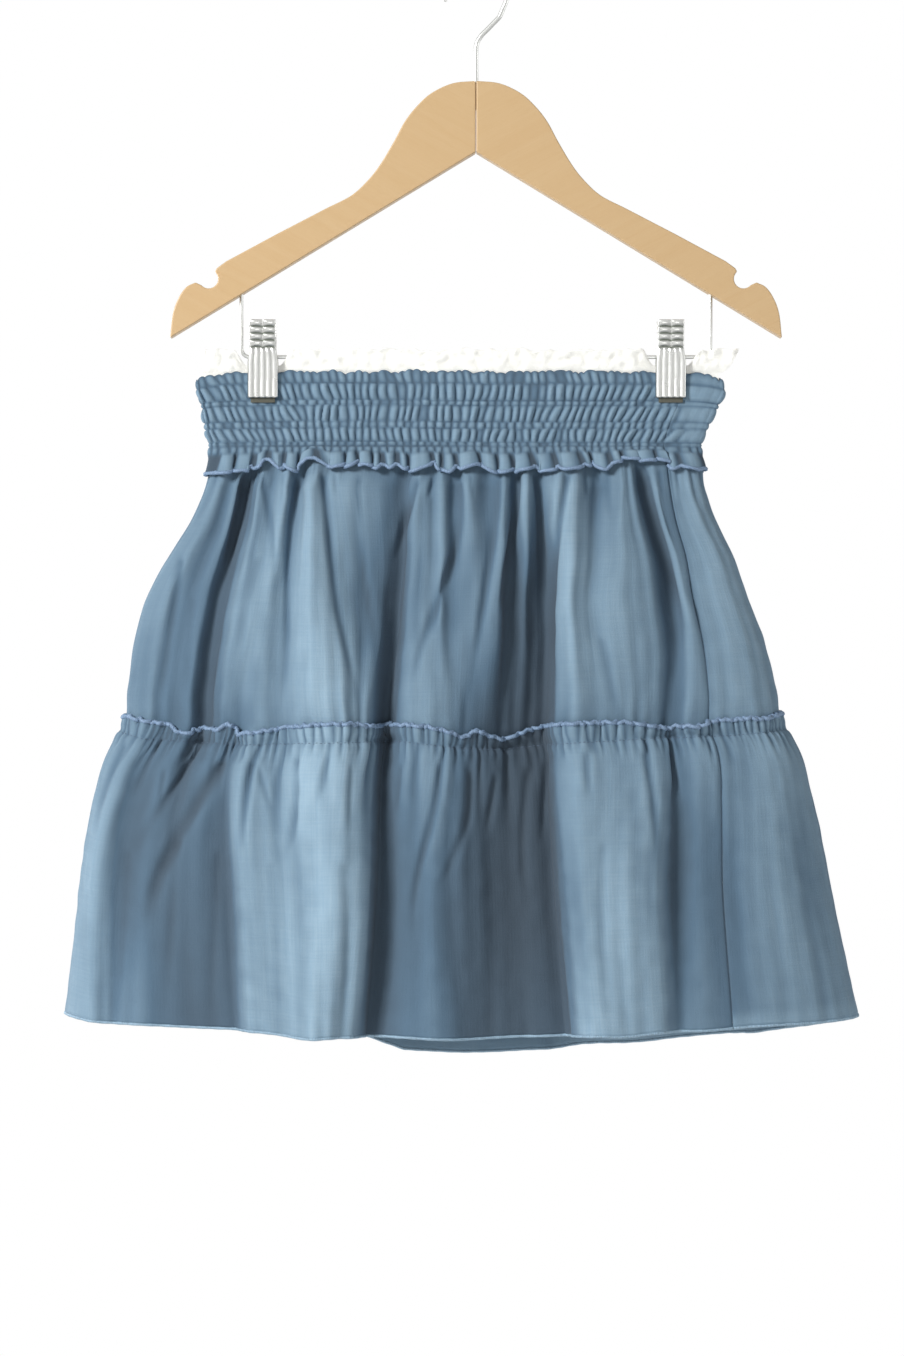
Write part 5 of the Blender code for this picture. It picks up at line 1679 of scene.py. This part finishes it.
class SKIRT_OT_studio(bpy.types.Operator):
    """Set up the pale floor, the soft lights and the camera"""

    bl_idname = "skirt.studio"
    bl_label = "Studio"

    def execute(self, context):
        settings = context.scene.skirt_studio
        make_floor()
        soft_light("key_light", (-1.75, -1.65, 0.65), settings.key_power, size=0.7)
        soft_light("top_light", (0.35, -0.35, 1.6), settings.fill_power, size=1.2)
        soft_light("bounce_light", (0.1, -1.8, -0.85), 0.27 * settings.rim_power, size=0.9)
        soft_light("left_rim_light", (-1.5, 1.1, -0.3), settings.rim_power, size=1.2)
        soft_light("right_rim_light", (1.8, -0.1, -0.2), 0.4 * settings.rim_power, size=1.2)
        make_world(settings.ambient)
        make_camera()
        context.scene.view_settings.view_transform = "Standard"
        return {"FINISHED"}


def placed(name, data, place=(0.0, 0.0, 0.0)):
    """A new object of the studio."""
    obj = bpy.data.objects.new(name, data)
    obj.location = place
    bpy.context.scene.collection.objects.link(obj)
    return obj


def make_floor():
    """A plain pale floor well below the hem."""
    bm = bmesh.new()
    bmesh.ops.create_grid(bm, x_segments=12, y_segments=12, size=1.6)
    bmesh.ops.translate(bm, verts=bm.verts, vec=(0, 0.2, -1.25))
    mesh = mesh_of(bm, "studio_floor")
    made, nodes, shader = new_material("studio_paper", Roughness=0.9)
    grain = nodes.noise(nodes.place(), 900.0)
    nodes.feed(shader.inputs["Base Color"], nodes.mix(grain, (0.93, 0.93, 0.93), (0.96, 0.96, 0.96)))
    mesh.materials.append(made)
    placed("studio_floor", mesh)


def soft_light(name, place, power, size):
    """A square soft light aimed at the middle of the skirt."""
    data = bpy.data.lights.new(name, "AREA")
    data.energy = power
    data.size = size
    aim = Vector(SKIRT_MIDDLE) - Vector(place)
    placed(name, data, place).rotation_euler = aim.to_track_quat("-Z", "Y").to_euler()


def make_world(ambient):
    """White to look at and in reflections, and a weaker even light on everything else."""
    world = bpy.data.worlds.new("white_studio")
    world.use_nodes = True
    world.node_tree.nodes.clear()
    nodes = Nodes(world.node_tree)
    rays = nodes.add("ShaderNodeLightPath").outputs
    seen = nodes.math("MAXIMUM", rays["Is Camera Ray"], nodes.math("MULTIPLY", rays["Is Glossy Ray"], 0.85))
    background = nodes.add("ShaderNodeBackground")
    nodes.feed(background.inputs["Color"], (1.0, 1.0, 1.0))
    nodes.feed(background.inputs["Strength"], nodes.math("MAXIMUM", seen, ambient))
    nodes.feed(nodes.add("ShaderNodeOutputWorld").inputs["Surface"], background.outputs[0])
    bpy.context.scene.world = world


def make_camera():
    """The photograph's view: square on and level with the skirt."""
    data = bpy.data.cameras.new("front_camera")
    data.sensor_width = SENSOR
    data.lens = SENSOR * CAMERA_DISTANCE / VIEW_HEIGHT
    data.clip_end = 20.0
    camera = placed("front_camera", data, (VIEW_X, -CAMERA_DISTANCE, VIEW_Z))
    camera.rotation_euler = (math.radians(90), 0, 0)
    bpy.context.scene.camera = camera


class SKIRT_PT_pieces(bpy.types.Panel):
    """Lists the settings, and the pieces in the order they are made"""

    bl_label = "Skirt on a hanger"
    bl_idname = "SKIRT_PT_pieces"
    bl_space_type = "VIEW_3D"
    bl_region_type = "UI"
    bl_category = "Skirt"

    def draw(self, context):
        for name in SETTINGS:
            box = self.layout.box()
            group = getattr(context.scene, name)
            for prop in group.bl_rna.properties:
                if prop.identifier not in ("rna_type", "name"):
                    box.prop(group, prop.identifier)
        for operator in PIECES:
            self.layout.operator(operator.bl_idname)


PIECES = (
    SKIRT_OT_studio,
    SKIRT_OT_waistband,
    SKIRT_OT_upper_tier,
    SKIRT_OT_lower_tier,
    SKIRT_OT_facing,
    SKIRT_OT_wooden_arms,
    SKIRT_OT_hook_and_rod,
    SKIRT_OT_clips,
)
SETTINGS = {"skirt_cloth": SkirtCloth, "skirt_hanger": SkirtHanger, "skirt_studio": SkirtStudio}
CLASSES = (*SETTINGS.values(), *PIECES, SKIRT_PT_pieces)


def register():
    """Registers the properties, the operators and the panel."""
    for kind in CLASSES:
        bpy.utils.register_class(kind)
    for name, group in SETTINGS.items():
        setattr(bpy.types.Scene, name, PointerProperty(type=group))


def unregister():
    """Takes away what register added."""
    for name in SETTINGS:
        delattr(bpy.types.Scene, name)
    for kind in reversed(CLASSES):
        bpy.utils.unregister_class(kind)


def main():
    """Makes every piece."""
    register()
    bpy.ops.skirt.studio()
    bpy.ops.skirt.waistband()
    bpy.ops.skirt.upper_tier()
    bpy.ops.skirt.lower_tier()
    bpy.ops.skirt.facing()
    bpy.ops.skirt.wooden_arms()
    bpy.ops.skirt.hook_and_rod()
    bpy.ops.skirt.clips()


if __name__ == "__main__":
    main()
